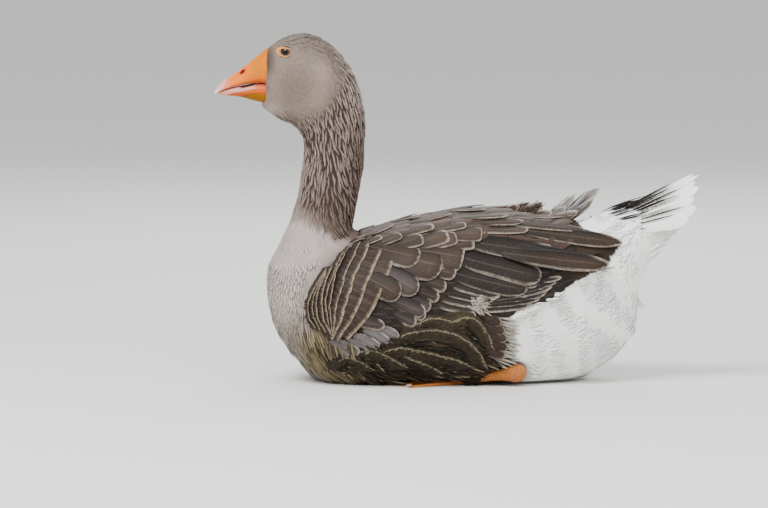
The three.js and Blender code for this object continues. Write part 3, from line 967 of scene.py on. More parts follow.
class Wrap:
    """The left side of the body unrolled: y, and s, the way down from a line along the side."""

    def __init__(self):
        self.step = WRAP_STEP
        ys = np.arange(FRONT, REAR, self.step)
        ss = np.arange(OVER_THE_BACK, UNDER_THE_BELLY, self.step)
        self.low = np.array([ys[0], ss[0]])
        exact = np.array([self.section(y, ss) for y in ys])
        self.places = self.blurred(exact, 4)
        self.outward = self.facing()
        # The smoothed side never lies under the skin.
        under = ((exact - self.places) * self.outward).sum(-1, keepdims=True)
        near = np.abs(under) < 8 * MM
        self.places = self.blurred(self.places + self.outward * np.maximum(under, 0) * near, 1)
        self.outward = self.facing()

    def facing(self):
        along = np.gradient(self.places, axis=0)
        down = np.gradient(self.places, axis=1)
        return unit(self.blurred(unit(np.cross(down, along)), 2))

    def section(self, y, ss):
        """The outline across the body at y, over the back and down the left side to the belly."""
        centre = Vector((0, y, 0.085 + 2.35 * max(0, y - 0.06) ** 2))  # it rises towards the tail
        turns = np.radians(np.arange(-150, 131, 1.5))
        hits = []
        for turn in turns:
            hit = tree.ray_cast(centre, Vector((math.cos(turn), 0, -math.sin(turn))))[0]
            hits.append(hit or (hits[-1] if hits else centre))
        hits = np.array(hits)
        steps = np.linalg.norm(np.diff(hits, axis=0), axis=1)
        s = np.concatenate([[0], np.cumsum(steps)])
        s -= np.interp(0, turns, s)
        return np.stack([np.interp(ss, s, hits[:, k]) for k in range(3)], -1)

    def blurred(self, table, rounds):
        for _ in range(rounds):
            for axis in (0, 1):
                pad = [(1, 1) if k == axis else (0, 0) for k in range(3)]
                wide = np.pad(table, pad, mode="edge")
                low = np.take(wide, range(table.shape[axis]), axis)
                high = np.take(wide, range(2, table.shape[axis] + 2), axis)
                table = table / 2 + (low + high) / 4
        return table

    def at(self, spots):
        """Places and outward ways at spots of (y, s)."""
        grid = (spots - self.low) / self.step
        most = np.array(self.places.shape[:2]) - 2
        cell = np.clip(np.floor(grid).astype(int), 0, most)
        part = np.clip(grid - cell, 0, 1)
        i, j = cell[..., 0], cell[..., 1]
        a, b = part[..., :1], part[..., 1:]

        def pick(table):
            top = table[i, j] * (1 - b) + table[i, j + 1] * b
            low = table[i + 1, j] * (1 - b) + table[i + 1, j + 1] * b
            return top * (1 - a) + low * a

        return pick(self.places), unit(pick(self.outward))

    def find(self, seen):
        """The spots that look to be at seen from the side."""
        seen = np.asarray(seen, float)
        coarse = seen_from_side(self.places)
        coarse[(self.outward @ toward_camera) < 0.02] = 1e6
        flat = coarse.reshape(-1, 2)
        nearest = np.array([((flat - one) ** 2).sum(1).argmin() for one in seen])
        spot = self.low + self.step * np.stack(np.unravel_index(nearest, self.places.shape[:2]), -1)
        for reach in (1, 0.3, 0.1):
            near = np.linspace(-1, 1, 7) * self.step * reach
            tries = spot[:, None] + np.array([(u, v) for u in near for v in near])[None]
            gap = ((seen_from_side(self.at(tries)[0]) - seen[:, None]) ** 2).sum(-1)
            spot = tries[np.arange(len(spot)), gap.argmin(1)]
        return spot


wrap = Wrap()


# ---------------------------------------------------------------- feathers that are placed one by one

SHAPES = {"long": LONG, "round": ROUND, "blunt": BLUNT, "square": SQUARE, "pointed": POINTED, "lock": LOCK}


def feather(
    root, tip, width, layer, tilt, shape, tint, edge=CREAM, rim=0.09, start=0.3, bow=0.0, laid=False
):
    """One feather, with its root and tip in millimetres, as seen from the side.

    They are on the unrolled body instead if laid is set. Rim is the pale edge's width in centimetres.
    """
    return dict(
        root=root, tip=tip, width=width, layer=layer, tilt=tilt, bow=bow, shape=shape,
        tint=tint, edge=edge, rim=rim, start=start, laid=laid,
    )


def midlines(start, end, rows, seen):
    """The middle line of each feather at rows from its root to its tip, and its direction there.

    Those that are given as seen from the side are straight in that view.
    """
    t = rows[:, None]
    middle = start[:, None] * (1 - t) + end[:, None] * t
    if seen.any():
        found = wrap.find(middle[seen].reshape(-1, 2) / MM)
        middle[seen] = found.reshape(-1, len(rows), 2)
    middle = middle + rng.normal(0, 0.4 * MM, (len(start), 1, 2)) * seen[:, None, None]
    ways = np.repeat(unit(middle[:, -1] - middle[:, 0])[:, None], len(rows), 1)
    for one in np.flatnonzero(seen):
        ahead = between(np.minimum(rows + 0.15, 1), rows, middle[one])
        ways[one] = unit(ahead - between(np.maximum(rows - 0.15, 0), rows, middle[one]))
    return middle, ways


def stiff(middle, rows):
    """Middle lines of long feathers that bend only a little, with the ways across and out of them."""
    exact, outward = wrap.at(middle)
    lines, outs = np.empty_like(exact), np.empty_like(exact)
    for one, (points, facing) in enumerate(zip(exact, outward)):
        bend, lean = np.polyfit(rows, points, 2), np.polyfit(rows, facing, 1)
        t = rows[:, None]
        line = bend[0] * t * t + bend[1] * t + bend[2]
        outs[one] = unit(lean[0] * t + lean[1])
        sunk = np.clip(((points - line) * outs[one]).sum(1), 0, 4 * MM)[rows > 0.4].max()
        lines[one] = line + outs[one] * sunk
    return lines, unit(np.cross(unit(np.gradient(lines, axis=1)), outs)), outs


def column(rows, key):
    """One value of each feather."""
    return np.array([row[key] for row in rows], float)


def set_feathers(name, feathers, side, base=1.1):
    """The feathers on one side of the body as one piece. Each has its own patch of the unwrap."""
    made = []
    each_side = math.ceil(math.sqrt(len(feathers)))
    number = 0
    for shape, vane in SHAPES.items():
        mine = [f for f in feathers if f["shape"] == shape]
        if not mine:
            continue
        count = len(mine)
        rows, row = np.unique(vane.along, return_inverse=True)
        ends = column(mine, "root") * MM, column(mine, "tip") * MM
        middle, way = midlines(*ends, rows, column(mine, "laid") == 0)
        length = np.linalg.norm(middle[:, -1] - middle[:, 0], axis=1)
        across = np.stack([-way[..., 1], way[..., 0]], -1)
        width = column(mine, "width") * MM * rng.uniform(0.95, 1.05, count)
        t = vane.along[None]
        bow = (column(mine, "bow") * MM)[:, None]
        offset = vane.across[None] * width[:, None] / 2 + bow * 4 * t * (1 - t)
        on = middle[:, row] + across[:, row] * offset[..., None]
        places, outward = wrap.at(on)
        if shape == "long":
            lines, lower, outs = stiff(middle, rows)
            places, outward = lines[:, row] + lower[:, row] * offset[..., None], outs[:, row]
        tilt = column(mine, "tilt")[:, None] * vane.across[None] * np.minimum(1, 3 * t)
        high = base + column(mine, "layer")[:, None] * t + tilt
        high = high + vane.up[None] * (0.05 * width[:, None] / MM)
        places = places + outward * np.maximum(high, 0.15)[..., None] * MM
        places[..., 0] *= side
        tints = column(mine, "tint") * rng.normal(1, 0.06, count)[:, None]
        tints = with_fourth(tints, column(mine, "rim"))
        edges = with_fourth(column(mine, "edge"), column(mine, "start"))
        cells = np.arange(number, number + count)
        number += count
        made.append(joined_feathers(
            name, vane, places, tints, edges, own_patches(cells, each_side),
            length, width, rng.random(count), side < 0,
        ))
    whole = joined(made)
    whole.name = name
    return whole


def along_line(points, spacing):
    """Spots along a line through points, spacing apart, with the line's direction at each."""
    points = np.array(points, float)
    steps = np.linalg.norm(np.diff(points, axis=0), axis=1)
    reach = np.concatenate([[0], np.cumsum(steps)])
    count = max(2, round(reach[-1] / spacing) + 1)
    places = np.linspace(0, reach[-1], count)
    ways = between(places + 4, reach, points) - between(places - 4, reach, points)
    return between(places, reach, points), unit(ways)


# ---------------------------------------------------------------- the wings

# The pale bars across the shoulder of the wing, each the line of the tips of one row, from the top down.
BARS = [
    [(-124, 120), (-131, 109), (-139, 95), (-143, 84), (-143, 76), (-141, 67), (-136, 60)],
    [(-125, 117), (-131, 105), (-137, 92), (-138.5, 80), (-137, 70), (-131, 58)],
    [(-125, 114), (-131, 100), (-134, 88), (-134, 75), (-131, 65), (-125, 56)],
    [(-119, 120), (-125, 106), (-128, 93), (-128, 81), (-126.5, 68), (-123.5, 61), (-120, 54)],
    [(-106, 137), (-112, 126), (-117, 112), (-122, 100), (-124, 88),
     (-123.5, 76), (-121.5, 64), (-118.5, 53)],
    [(-99, 144), (-106, 133), (-112.5, 119), (-116, 106),
     (-118, 93), (-120, 81), (-118.5, 68), (-117, 52)],
    [(-88, 147), (-92, 136), (-98, 126), (-103, 114), (-106, 101),
     (-110.5, 90), (-112.5, 81), (-114, 68), (-116, 51)],
    [(-77, 147), (-80, 138), (-85.5, 127), (-91, 117), (-95, 108), (-97.5, 97),
     (-101, 87), (-104, 76), (-107.5, 65), (-115, 50)],
    [(-65, 137), (-68.5, 128), (-73, 119), (-77.5, 108), (-82, 97),
     (-85.5, 88), (-90, 77), (-96, 65), (-107.5, 49)],
    [(-49, 134), (-53, 122), (-57.5, 112), (-62, 101), (-66.5, 90),
     (-71, 81), (-76.5, 71), (-84, 62), (-96, 49)],
]
BAR_WIDTHS = [4.5, 5, 6, 7, 8, 9, 10.5, 12, 13.5, 15]
BAR_LENGTHS = [10, 12, 15, 18, 20, 22, 25, 28, 32, 36]

GREY_BROWN = linear(68, 54, 45)
MAUVE = linear(68, 58, 56)
DARK_BROWN = linear(34, 27, 23)
STACK = linear(28, 23, 21)

# Root and tip, width, how far the tip stands off, tilt, shape and colour of each feather.
WING_FEATHERS = [
    # the last row of coverts
    ((-14, 122), (17, 115), 18, 2.6, -0.5, "round", BROWN),
    ((-20, 110), (7, 101), 16, 2.6, -0.5, "round", BROWN),
    ((-27, 98), (-1, 89), 15, 2.6, -0.5, "round", BROWN),
    ((-35, 90), (-10, 78), 15, 2.7, -0.5, "round", MAUVE),
    ((-42, 82), (-16, 70), 15, 2.8, -0.5, "round", MAUVE),
    ((-52, 74), (-26, 63), 14, 2.9, -0.5, "round", MAUVE),
    # broad coverts in the middle of the wing
    ((-40, 143), (26.4, 133), 34, 2.2, 0.6, "blunt", BROWN),
    ((-62, 137), (2.8, 124), 42, 2.7, 0.6, "round", BROWN),
    ((-84, 146), (-21.7, 131), 36, 3.2, 0.6, "round", BROWN),
    ((-78, 126), (-23, 98), 28, 3.3, -0.6, "round", MAUVE),
    ((-92, 117), (-43, 92), 27, 3.8, -0.6, "round", BROWN),
    ((-66, 94), (-16, 73), 18, 3.0, -0.5, "round", MAUVE),
    ((-110, 70), (-60, 60), 15, 3.2, -0.4, "round", MAUVE),
    # scapulars, from front to back, the lower row first
    ((-100, 143), (-63, 154), 12, 3.9, 0.5, "blunt", GREY_BROWN),
    ((-84, 142), (-41, 156), 17, 3.8, 0.5, "blunt", GREY_BROWN),
    ((-66, 143), (-18, 153), 21, 3.6, 0.5, "blunt", BROWN),
    ((-44, 144), (10, 157), 24, 3.4, 0.5, "blunt", GREY_BROWN),
    ((-28, 144), (18, 155), 21, 3.1, 0.5, "blunt", GREY_BROWN),
    ((-12, 146), (38, 149), 19, 2.9, 0.5, "blunt", BROWN),
    ((-40, 158), (30, 168), 16, 3.0, 0.5, "blunt", GREY_BROWN),
    ((-70, 152), (-6, 166), 15, 3.2, 0.5, "blunt", GREY_BROWN),
]
REAR_FEATHERS = [
    ((50, 175), (160, 162), 15, 3.2, 0.5, "long", BROWN),
    ((56, 168), (199.4, 149), 22, 2.9, 0.7, "long", BROWN),
    ((80, 150), (184, 128), 12, 1.5, 0.4, "long", DARK_BROWN),
    ((60, 139), (182.4, 125), 23, 1.9, 0.7, "long", BROWN),
    ((5, 157), (123.5, 137), 26, 3.2, 0.8, "blunt", DARK_BROWN * 1.3),
    ((-6, 142), (110.6, 112), 27, 2.5, 0.8, "blunt", DARK_BROWN * 1.2),
    ((-10, 124), (95, 98.5), 24, 1.9, 0.8, "round", DARK_BROWN * 1.2),
    ((-8, 159), (47, 159), 22, 3.8, 0.5, "blunt", GREY_BROWN),
    ((15, 165), (97, 162), 13, 3.5, 0.5, "blunt", GREY_BROWN),
    ((-6, 110), (66, 91), 12, 1.8, 0.5, "round", DARK_BROWN),
    ((-14, 102), (60, 88), 11, 1.5, 0.5, "round", DARK_BROWN),
    ((-14, 94), (48, 82), 10, 1.3, 0.5, "round", DARK_BROWN),
    ((-16, 86), (38, 76), 10, 1.1, 0.5, "round", DARK_BROWN),
    ((44, 95), (134, 113), 11, 1.2, 0.4, "round", STACK),
    ((38, 91), (128, 107), 11, 1.0, 0.4, "round", STACK),
    ((32, 87), (123, 102), 11, 0.9, 0.4, "round", STACK),
    ((26, 83), (117, 96), 11, 0.8, 0.4, "round", STACK),
    ((20, 80), (110, 90), 11, 0.7, 0.4, "round", STACK),
    ((12, 76), (101, 83), 11, 0.6, 0.4, "round", STACK),
]

# Near the back's outline only the ends of a feather are as seen from the side.
BACK_FEATHERS = [
    ((-100, 150), (-48, 168), 12, 3.4, 0.4, "pointed", GREY_BROWN),
    ((-72, 163), (-20, 177), 13, 3.3, 0.4, "pointed", GREY_BROWN),
    ((-50, 168), (14, 179), 15, 3.2, 0.4, "pointed", GREY_BROWN),
    ((20, 169), (92, 171), 13, 3.6, 0.4, "round", GREY_BROWN),
    ((0, 175), (75, 177), 14, 3.5, 0.4, "round", GREY_BROWN),
    ((60, 182), (137, 176), 14, 2.6, 0.4, "round", GREY_BROWN),
    ((-25, 177), (52, 184), 16, 3.5, 0.4, "round", GREY_BROWN),
]

PALE_RIM = 0.16


def back_feathers():
    made = []
    for root, tip, *rest in BACK_FEATHERS:
        root, tip = wrap.find([root, tip]) / MM
        made.append(feather(root, tip, *rest, edge=PALE, rim=PALE_RIM, start=0.4, laid=True))
    return made


def listed(rows, start, bow):
    """The feathers of a list, with pale edges of uneven width."""
    made = []
    for row in rows:
        rim = PALE_RIM * rng.uniform(0.8, 1.4)
        made.append(feather(*row, edge=PALE, rim=rim, start=start, bow=bow))
    return made


def on_wing(spot):
    """Whether a spot of the unrolled body looks to be on the wing."""
    return enclosed(seen_from_side(wrap.at(spot[None] * MM)[0]), WING_OUTLINE)[0]


def bar_feathers():
    """Rows of feathers with pale ends, which lie in line and so make the bars."""
    made = []
    for line, width, length in zip(BARS, BAR_WIDTHS, BAR_LENGTHS):
        tips, ways = along_line(wrap.find(line) / MM, width * 0.66)
        for tip, way in zip(tips, ways):
            out = unit(np.array([way[1], -way[0]]))
            tip = tip + out * rng.normal(0, 0.03 * width)
            root = tip - out * length
            while length > 6 and not on_wing(root):
                length -= 2
                root = tip - out * length
            shade = BROWN * rng.uniform(0.7, 1.15)
            rim = 0.2 + 0.005 * width
            made.append(feather(
                root, tip, width, 2.4, 0.25, "square", shade, rim=rim, start=0.6, laid=True,
            ))
    return made


# Whether they lie on the back, how far apart their rows and the feathers in a row are, width and length.
FILLERS = [(0, 13, 12, 17, 38), (1, 22, 16, 25, 56)]


def filler_feathers():
    """Plain feathers under the others over the wing, and broader ones on the back."""
    feathers = []
    for high, step, gap, width, length in FILLERS:
        for row, y in enumerate(np.arange(-74, 160, step)):
            for s in np.arange(-230, 80, gap) + (row % 2) * gap / 2:
                spot = np.array([y, s]) + rng.normal(0, 2, 2)
                place = wrap.at(spot[None] * MM)[0]
                z = place[0, 2] / MM
                seen = float(smooth(150, 166, z))
                if place[0, 0] < -7 * MM or (seen > 0.5) != high or not inside(place, WING_OUTLINE)[0]:
                    continue
                light = blend(DARK_BROWN, GREY_BROWN, seen) * rng.uniform(0.8, 1.15)
                root = (max(spot[0] - length, -90), spot[1] + rng.normal(0, 1.5))
                feathers.append(feather(
                    root, spot, width, 0.5 + 1.4 * seen, 0.4, "round", light, DUSK,
                    rim=0.08 * seen, start=0.5, laid=True,
                ))
    return feathers


for side_name, side in SIDES.items():
    fillers = set_feathers(f"under_coverts_{side_name}", filler_feathers(), side, 0.15)
    finish_piece(fillers, wing_coat)
    coverts = bar_feathers() + back_feathers() + listed(WING_FEATHERS, 0.4, 0)
    wing = set_feathers(f"wing_coverts_{side_name}", coverts, side)
    finish_piece(wing, wing_coat, [f"wing_{side_name}"])
    quills = set_feathers(f"long_feathers_{side_name}", listed(REAR_FEATHERS, 0.2, 1.2), side)
    finish_piece(quills, wing_coat, [f"flight_feathers_{side_name}"])


# ---------------------------------------------------------------- the flank's broad feathers

OLIVE = linear(42, 35, 22)
REDDISH = linear(60, 46, 37)
FRAY = linear(158, 146, 120)
CLOUD_GREY = linear(112, 107, 105)
# Lines of the tips of the flank's feathers, with their tint, standing off, length and width.
FLANK_LINES = [
    ([(-26, 63), (-12, 69), (2, 69), (16, 64)], OLIVE * 1.3, 1.5, 36, 13),
    ([(15, 66), (28, 70), (38, 69), (47, 61), (54, 49), (59, 35)], OLIVE * 1.3, 1.9, 36, 13),
    ([(-40, 52), (-30, 55), (-17, 57), (-1, 56), (17, 52), (34, 42), (45, 30), (53, 14)],
     OLIVE * 1.1, 2.4, 40, 13),
    ([(-34, 27), (-11, 18), (5, 9)], OLIVE * 0.8, 2.4, 36, 13),
    ([(-57, 35), (-42, 38), (-26, 35), (-3, 30), (20, 24), (36, 17)], OLIVE * 0.9, 2.8, 40, 13),
    ([(-89, 33), (-79, 36), (-65, 32), (-49, 24), (-34, 16)], OLIVE, 3.0, 34, 13),
    ([(-108, 25), (-99, 28), (-85, 22), (-72, 14)], OLIVE, 3.0, 30, 13),
]

# Grey feathers under the wing's front and short brown ones over the hip.
GREY_FEATHERS = [
    ((-78, 62), (-46, 49), 13, 2.6, -0.4),
    ((-86, 56), (-56, 43), 14, 2.8, -0.4),
    ((-98, 50), (-66, 38), 15, 3.0, -0.4),
    ((-106, 46), (-77, 33), 15, 3.2, -0.4),
    ((-118, 46), (-88, 31), 15, 3.4, -0.4),
    ((-122, 44), (-99, 29), 14, 3.5, -0.4),
]
HIP_FEATHERS = [
    ((46, 70), (67, 63), 12, 2.6, 0.3),
    ((46, 62), (71, 54), 12, 2.8, 0.3),
    ((47, 53), (73, 45), 12, 3.0, 0.3),
    ((48, 44), (73, 36), 12, 3.1, 0.3),
    ((48, 36), (70, 27), 11, 3.2, 0.3),
]


def strand(root, tip, width, layer, shade, pale, bow=0.0, laid=True):
    """A thin strand, with a pale frayed tip where pale is 1."""
    return feather(root, tip, width, layer, 0, "lock", shade, FRAY, rim=0, start=pale, bow=bow, laid=laid)


def flank_feathers():
    """Rows of long dark feathers. Pale frayed strands make one line of each row's tips."""
    made = []
    for line, tint, layer, length, width in FLANK_LINES:
        line = wrap.find(line) / MM
        for tip, way in zip(*along_line(line, 6)):
            out = unit(way * 0.9 + np.array([way[1], -way[0]]) * 0.42)
            tip = tip - out * 3
            root = tip - out * length
            made.append(feather(root, tip, width, layer, -0.3, "round", tint, FRAY, rim=0, laid=True))
            for back in (4, 9, 14, 19):
                along = way * rng.uniform(-3, 3) - np.array([way[1], -way[0]]) * back
                end = tip + along
                root = end - out * length * rng.uniform(0.35, 0.6)
                shade = tint * rng.choice([0.35, 0.5, 0.8, 1.5, 2.1])
                made.append(strand(root, end, 1.9, layer + 0.6, shade, 0))
        for tip, way in zip(*along_line(line, 0.95)):
            out = unit(way * 0.9 + np.array([way[1], -way[0]]) * rng.normal(0.42, 0.12))
            tip = tip + out * rng.normal(0, 1.3)
            root = tip - out * length * rng.uniform(0.5, 0.75)
            shade = tint * rng.uniform(0.6, 1.6)
            made.append(strand(root, tip, 2.0, layer + 0.8, shade, 1))
    for row in GREY_FEATHERS:
        made.append(feather(*row, "round", CLOUD_GREY, linear(160, 154, 146), rim=0.15, start=0.5))
    for row in HIP_FEATHERS:
        shade = REDDISH * rng.uniform(0.7, 1.1)
        made.append(feather(*row, "round", shade, FRAY * 0.8, rim=0.13, start=0.65))
    for _ in range(64):  # a frayed white tuft at the wing's lower edge
        root = np.array([35, 86]) + rng.normal(0, 4.6, 2)
        lean = rng.uniform(-0.9, 0.35)
        tip = root + np.array([math.cos(lean), math.sin(lean)]) * rng.uniform(8, 20)
        shade = linear(196, 189, 178) * rng.uniform(0.6, 1.15)
        made.append(strand(root, tip, 1.3, 3.2, shade, 1, rng.uniform(-2, 2), False))
    return made


for side_name, side in SIDES.items():
    flank = set_feathers(f"flank_bars_{side_name}", flank_feathers(), side)
    finish_piece(flank, frayed_coat)


# ---------------------------------------------------------------- tail and plumes

TAIL_ROOT = np.array([0, 180, 177.3])
TAIL_RISE = math.radians(27.5)
TAIL_ARCH = math.radians(86)
TAIL_PAIRS = 7


def on_tail(across, down, length, lift):
    """Places on the folded tail, in metres. Across goes from -1 to 1, and down from root to tips."""
    arch = 20 + 30 * down
    turn = across * TAIL_ARCH
    along = down * length
    up = (arch + lift) * np.cos(turn) - arch
    y = along * math.cos(TAIL_RISE) - up * math.sin(TAIL_RISE)
    z = along * math.sin(TAIL_RISE) + up * math.cos(TAIL_RISE)
    return (np.stack([(arch + lift) * np.sin(turn), y, z], -1) + TAIL_ROOT) * MM


def fanned(name, vane, centres, spread, start, end, layer, tilt, tints, rise=0, streaked=1):
    """Feathers side by side on the tail's arch, each over the next one out. Rise lifts their roots."""
    count = len(centres)
    outer = np.sign(centres)[:, None]
    t = vane.along[None]
    full = (1 - 0.28 * centres**2 - 0.06 * np.maximum(0, 1 - 4 * np.abs(centres))) * 120
    across = centres[:, None] + vane.across[None] * spread / 2
    down = start[:, None] + (end - start)[:, None] * t
    lift = layer * np.minimum(1, 0.4 + t) + tilt * outer * vane.across[None] + vane.up[None] * 0.7
    lift = lift + rise * (1 - t)
    places = on_tail(across, down, full[:, None], lift)
    length = (end - start) * full * MM
    width = np.full(count, spread * TAIL_ARCH * 40 * MM)
    patches = own_patches(np.arange(count), math.ceil(math.sqrt(count)))
    tints, fringes = with_fourth(tints, 0), with_fourth(tints, streaked)
    return joined_feathers(name, vane, places, tints, fringes, patches, length, width, rng.random(count))


def near_white(count, darkest):
    """White, a little different from feather to feather."""
    return np.repeat(WHITE[None], count, 0) * rng.uniform(darkest, 1.0, (count, 1))


tail_coat = plumage_finish("tail_feathers", 150, 0.6, 0.0, shaft=0.25, streaks=0.9)
middles = (np.arange(2 * TAIL_PAIRS) + 0.5) / TAIL_PAIRS - 1
middles += rng.normal(0, 0.01, len(middles))
reaches = np.maximum(rng.uniform(0.9, 1.01, len(middles)), 1.0 - 0.3 * np.abs(middles))
tail = fanned(
    "tail_feathers", BRISTLED, middles, 0.36, np.zeros(len(middles)), reaches, -1.2, 1.0,
    near_white(len(middles), 0.93), streaked=smooth(0.85, 0.6, np.abs(middles)),
)
finish_piece(tail, tail_coat, ["tail"])

# Dark streaks over the upper side of the tail: how many on each side, the first and last place across,
# where they start, their width, how far they stand off, and the rise of their roots.
STREAKS = [
    (11, 0.03, 0.6, 0.12, 0.042, 0.7, 0),
    (9, 0.1, 0.8, -0.1, 0.045, 2.6, 0),
    (17, 0.2, 0.8, 0.02, 0.04, 3.2, 8),
    (7, 0.3, 0.95, 0.2, 0.03, 1.6, 0),
]
streak_rows = []
for count, first, last, start, wide, layer, rise in STREAKS:
    for way in (-1, 1):
        centres = way * (np.linspace(first, last, count) + rng.normal(0, 0.012, count))
        starts = start + rng.uniform(-0.08, 0.12, count)
        ends = starts + rng.uniform(0.25, 0.5, count) * (1.2 if start > 0.1 else 0.75)
        tints = np.repeat(NEAR_BLACK[None], count, 0) * rng.uniform(0.35, 0.9, (count, 1))
        streak_rows.append(fanned("tail_streaks", LOCK, centres, wide, starts, ends, layer, 0, tints, rise))
finish_piece(joined(streak_rows), ridge_coat)



def row_of_coverts(centres, spread, length, ends, layer, tilt):
    """White feathers over the tail's roots or under them."""
    tints = near_white(len(centres), 0.92)
    return fanned("tail_coverts", POINTED, centres, spread, ends - length, ends, layer, tilt, tints)


cover_rows = []
for row, (end, spread) in enumerate(((0.26, 0.26), (0.12, 0.28), (-0.02, 0.3))):
    even = np.arange(-0.98, 0.99, spread * 0.4)
    centres = even + rng.normal(0, 0.02, len(even))
    ends = end + rng.normal(0, 0.035, len(centres)) - 0.1 * centres**2
    cover_rows.append(row_of_coverts(centres, spread, 0.34, ends, 0.6 + 0.5 * row, 0.5))
for way in (-1, 1):  # the long coverts under the tail
    for end, first in ((0.62, 0.8), (0.45, 0.9), (0.3, 0.95)):
        even = np.arange(first, 1.45, 0.1)
        centres = way * (even + rng.normal(0, 0.02, len(even)))
        ends = end - 0.35 * (np.abs(centres) - first) + rng.normal(0, 0.03, len(centres))
        cover_rows.append(row_of_coverts(centres, 0.26, 0.5, ends, -2.5, 0.3))
finish_piece(joined(cover_rows), white_coat)

# The ruffled plumes: x, root and tip in the side view, width, turn in degrees, bend and colour.
PLUMES = [
    (-4, (66, 184), (100, 194), 13, 20, 3, GREY_BROWN * 1.5),
    (1.5, (84, 182), (113, 196), 13, -15, 3, GREY_BROWN * 1.5),
    (4, (58, 184), (88, 192), 12, 10, 2, GREY_BROWN * 1.5),
    (-2.5, (112, 174), (150, 206), 12, 28, 7, linear(140, 130, 126)),
    (2, (122, 172), (163, 209.5), 11, -35, 8, linear(160, 160, 168)),
    (-0.8, (136, 173), (177, 212), 14, 20, -7, linear(132, 122, 117)),
    (0.5, (130, 174), (169, 200), 12, -20, 5, linear(104, 92, 86)),
    (4, (104, 176), (139, 191), 13, 15, 5, linear(116, 104, 97)),
    (3, (84, 178), (124, 186), 13, 10, 4, linear(110, 97, 88)),
    (2, (98, 176), (146, 190), 12, 30, 5, linear(112, 100, 92)),
    (5, (110, 175), (152, 187), 12, -10, 5, linear(118, 106, 100)),
]


def upright_feathers(name, vane, rows, material, replaced=(), rim=0):
    """Feathers that stand up from the back."""
    count = len(rows)
    x, width, turn, bend = (np.array([row[k] for row in rows], float) for k in (0, 3, 4, 5))
    root = np.array([(row[0], *row[1]) for row in rows], float)
    tip = np.array([(row[0] * 1.4, *row[2]) for row in rows], float)
    way = unit(tip - root)
    flat = unit(np.cross(way, [1, 0, 0]))
    t = vane.along[None, :, None]
    turn = np.radians(turn)[:, None, None] * (1 + 0.8 * t)  # the blades twist towards their tips
    side = flat[:, None] * np.cos(turn) + np.array([1, 0, 0]) * np.sin(turn)
    out = np.cross(side, way[:, None])
    bow = bend[:, None, None] * 2 * t * (1 - t)
    places = root[:, None] + (tip - root)[:, None] * t + flat[:, None] * bow
    places = places + side * vane.across[None, :, None] * width[:, None, None] / 2
    places = (places + out * vane.up[None, :, None] * 0.8) * MM
    tints = np.array([row[6] for row in rows])
    edge = blend(tints, linear(222, 217, 211), np.full(count, 0.5))
    patches = own_patches(np.arange(count), math.ceil(math.sqrt(count)))
    length = np.linalg.norm(tip - root, axis=1) * MM
    piece = joined_feathers(
        name, vane, places, with_fourth(tints, rim), with_fourth(edge, 0.35), patches,
        length, width * MM, rng.random(count),
    )
    return finish_piece(piece, material, replaced)


upright_feathers("plumes", POINTED, PLUMES, plume_coat, ["back_plumes"], rim=0.2)
fluff = []
for _ in range(150):
    root = rng.uniform((66, 180), (104, 186))
    lean = rng.uniform(5, 55)
    reach = rng.uniform(9, 17)
    tip = root + reach * np.array([math.cos(math.radians(lean)), math.sin(math.radians(lean)) * 0.8])
    shade = GREY_BROWN * rng.uniform(0.8, 2.4)
    fluff.append((rng.normal(0, 4), root, tip, 1.8, rng.uniform(-50, 50), 1, shade))
upright_feathers("back_fluff", LOCK, fluff, ridge_coat)
# Frayed strands along the edges of the plumes.
frayed = []
for x, root, tip, width, _, _, shade in PLUMES:
    root, tip = np.array(root, float), np.array(tip, float)
    way = unit(tip - root)
    side = np.array([-way[1], way[0]])
    for _ in range(7):
        place = rng.uniform(0.3, 0.75)
        edge = rng.choice([-1, 1]) * rng.uniform(0.1, 0.45) * width * (1.15 - place)
        start = root + (tip - root) * place + side * edge
        end = start + way * rng.uniform(7, 12) + side * edge * rng.uniform(0.2, 0.8)
        if end[1] < 212.5:
            across = x + rng.normal(0, 0.6)
            turn = rng.uniform(-40, 40)
            frayed.append((across, start, end, 1.3, turn, 0.6, shade * rng.uniform(0.8, 1.4)))
upright_feathers("plume_strands", LOCK, frayed, ridge_coat)
under_tail = []
for _ in range(110):
    share = rng.random()
    x = rng.uniform(-1, 1)
    tip = np.array([240, 146]) * (1 - share) + np.array([266, 174]) * share + rng.normal(0, 1.5, 2)
    root = np.array([197, 112]) * (1 - share) + np.array([206, 150]) * share
    under_tail.append((x * 17, root, tip - 5 * abs(x), 8, 30 * x, 3, WHITE * rng.uniform(0.93, 1)))
upright_feathers("under_tail", PLAIN, under_tail, white_coat)
wisp = [(k * 2.5, (212, 104 - k), (224 + k, 78 + k), 2.5, 80, 2, WHITE) for k in range(-2, 3)]
upright_feathers("wisp", LOCK, wisp, white_coat)


# ---------------------------------------------------------------- bill

# Ribs of the bill's halves: the lower and the upper point as y and z, and half the width.
UPPER_BILL = [
    (-186, 346, -186, 346, 0), (-187, 327, -187, 366, 15.5), (-200, 327.5, -201, 356.5, 15),
    (-215, 325.5, -216, 344.5, 13.4), (-229, 322.5, -230, 334.5, 12), (-240, 318.5, -240, 327.5, 10),
    (-246.5, 316, -246, 320.5, 6.5), (-248.5, 317.5, -248.5, 317.5, 0),
]
LOWER_BILL = [
    (-186, 316, -186, 316, 0), (-187, 305, -187, 325.6, 13.5), (-203, 307.5, -203, 326, 13),
    (-218, 311.5, -218, 323.8, 11.5), (-231, 313, -231, 320.8, 10), (-241, 314, -241, 316.9, 7),
    (-244.5, 315.3, -244.5, 315.3, 0),
]
BILL_END_Y = -188
TONGUE_HALF_WIDTH = 5 * MM
NAIL_CUT = ((0, -237 * MM, 324 * MM), (0, -1, 0.45))
LIP = np.array([
    (-249, 317), (-246, 316.5), (-240, 318.8), (-229, 322.6), (-217, 325), (-206, 327.6), (-192, 328),
])
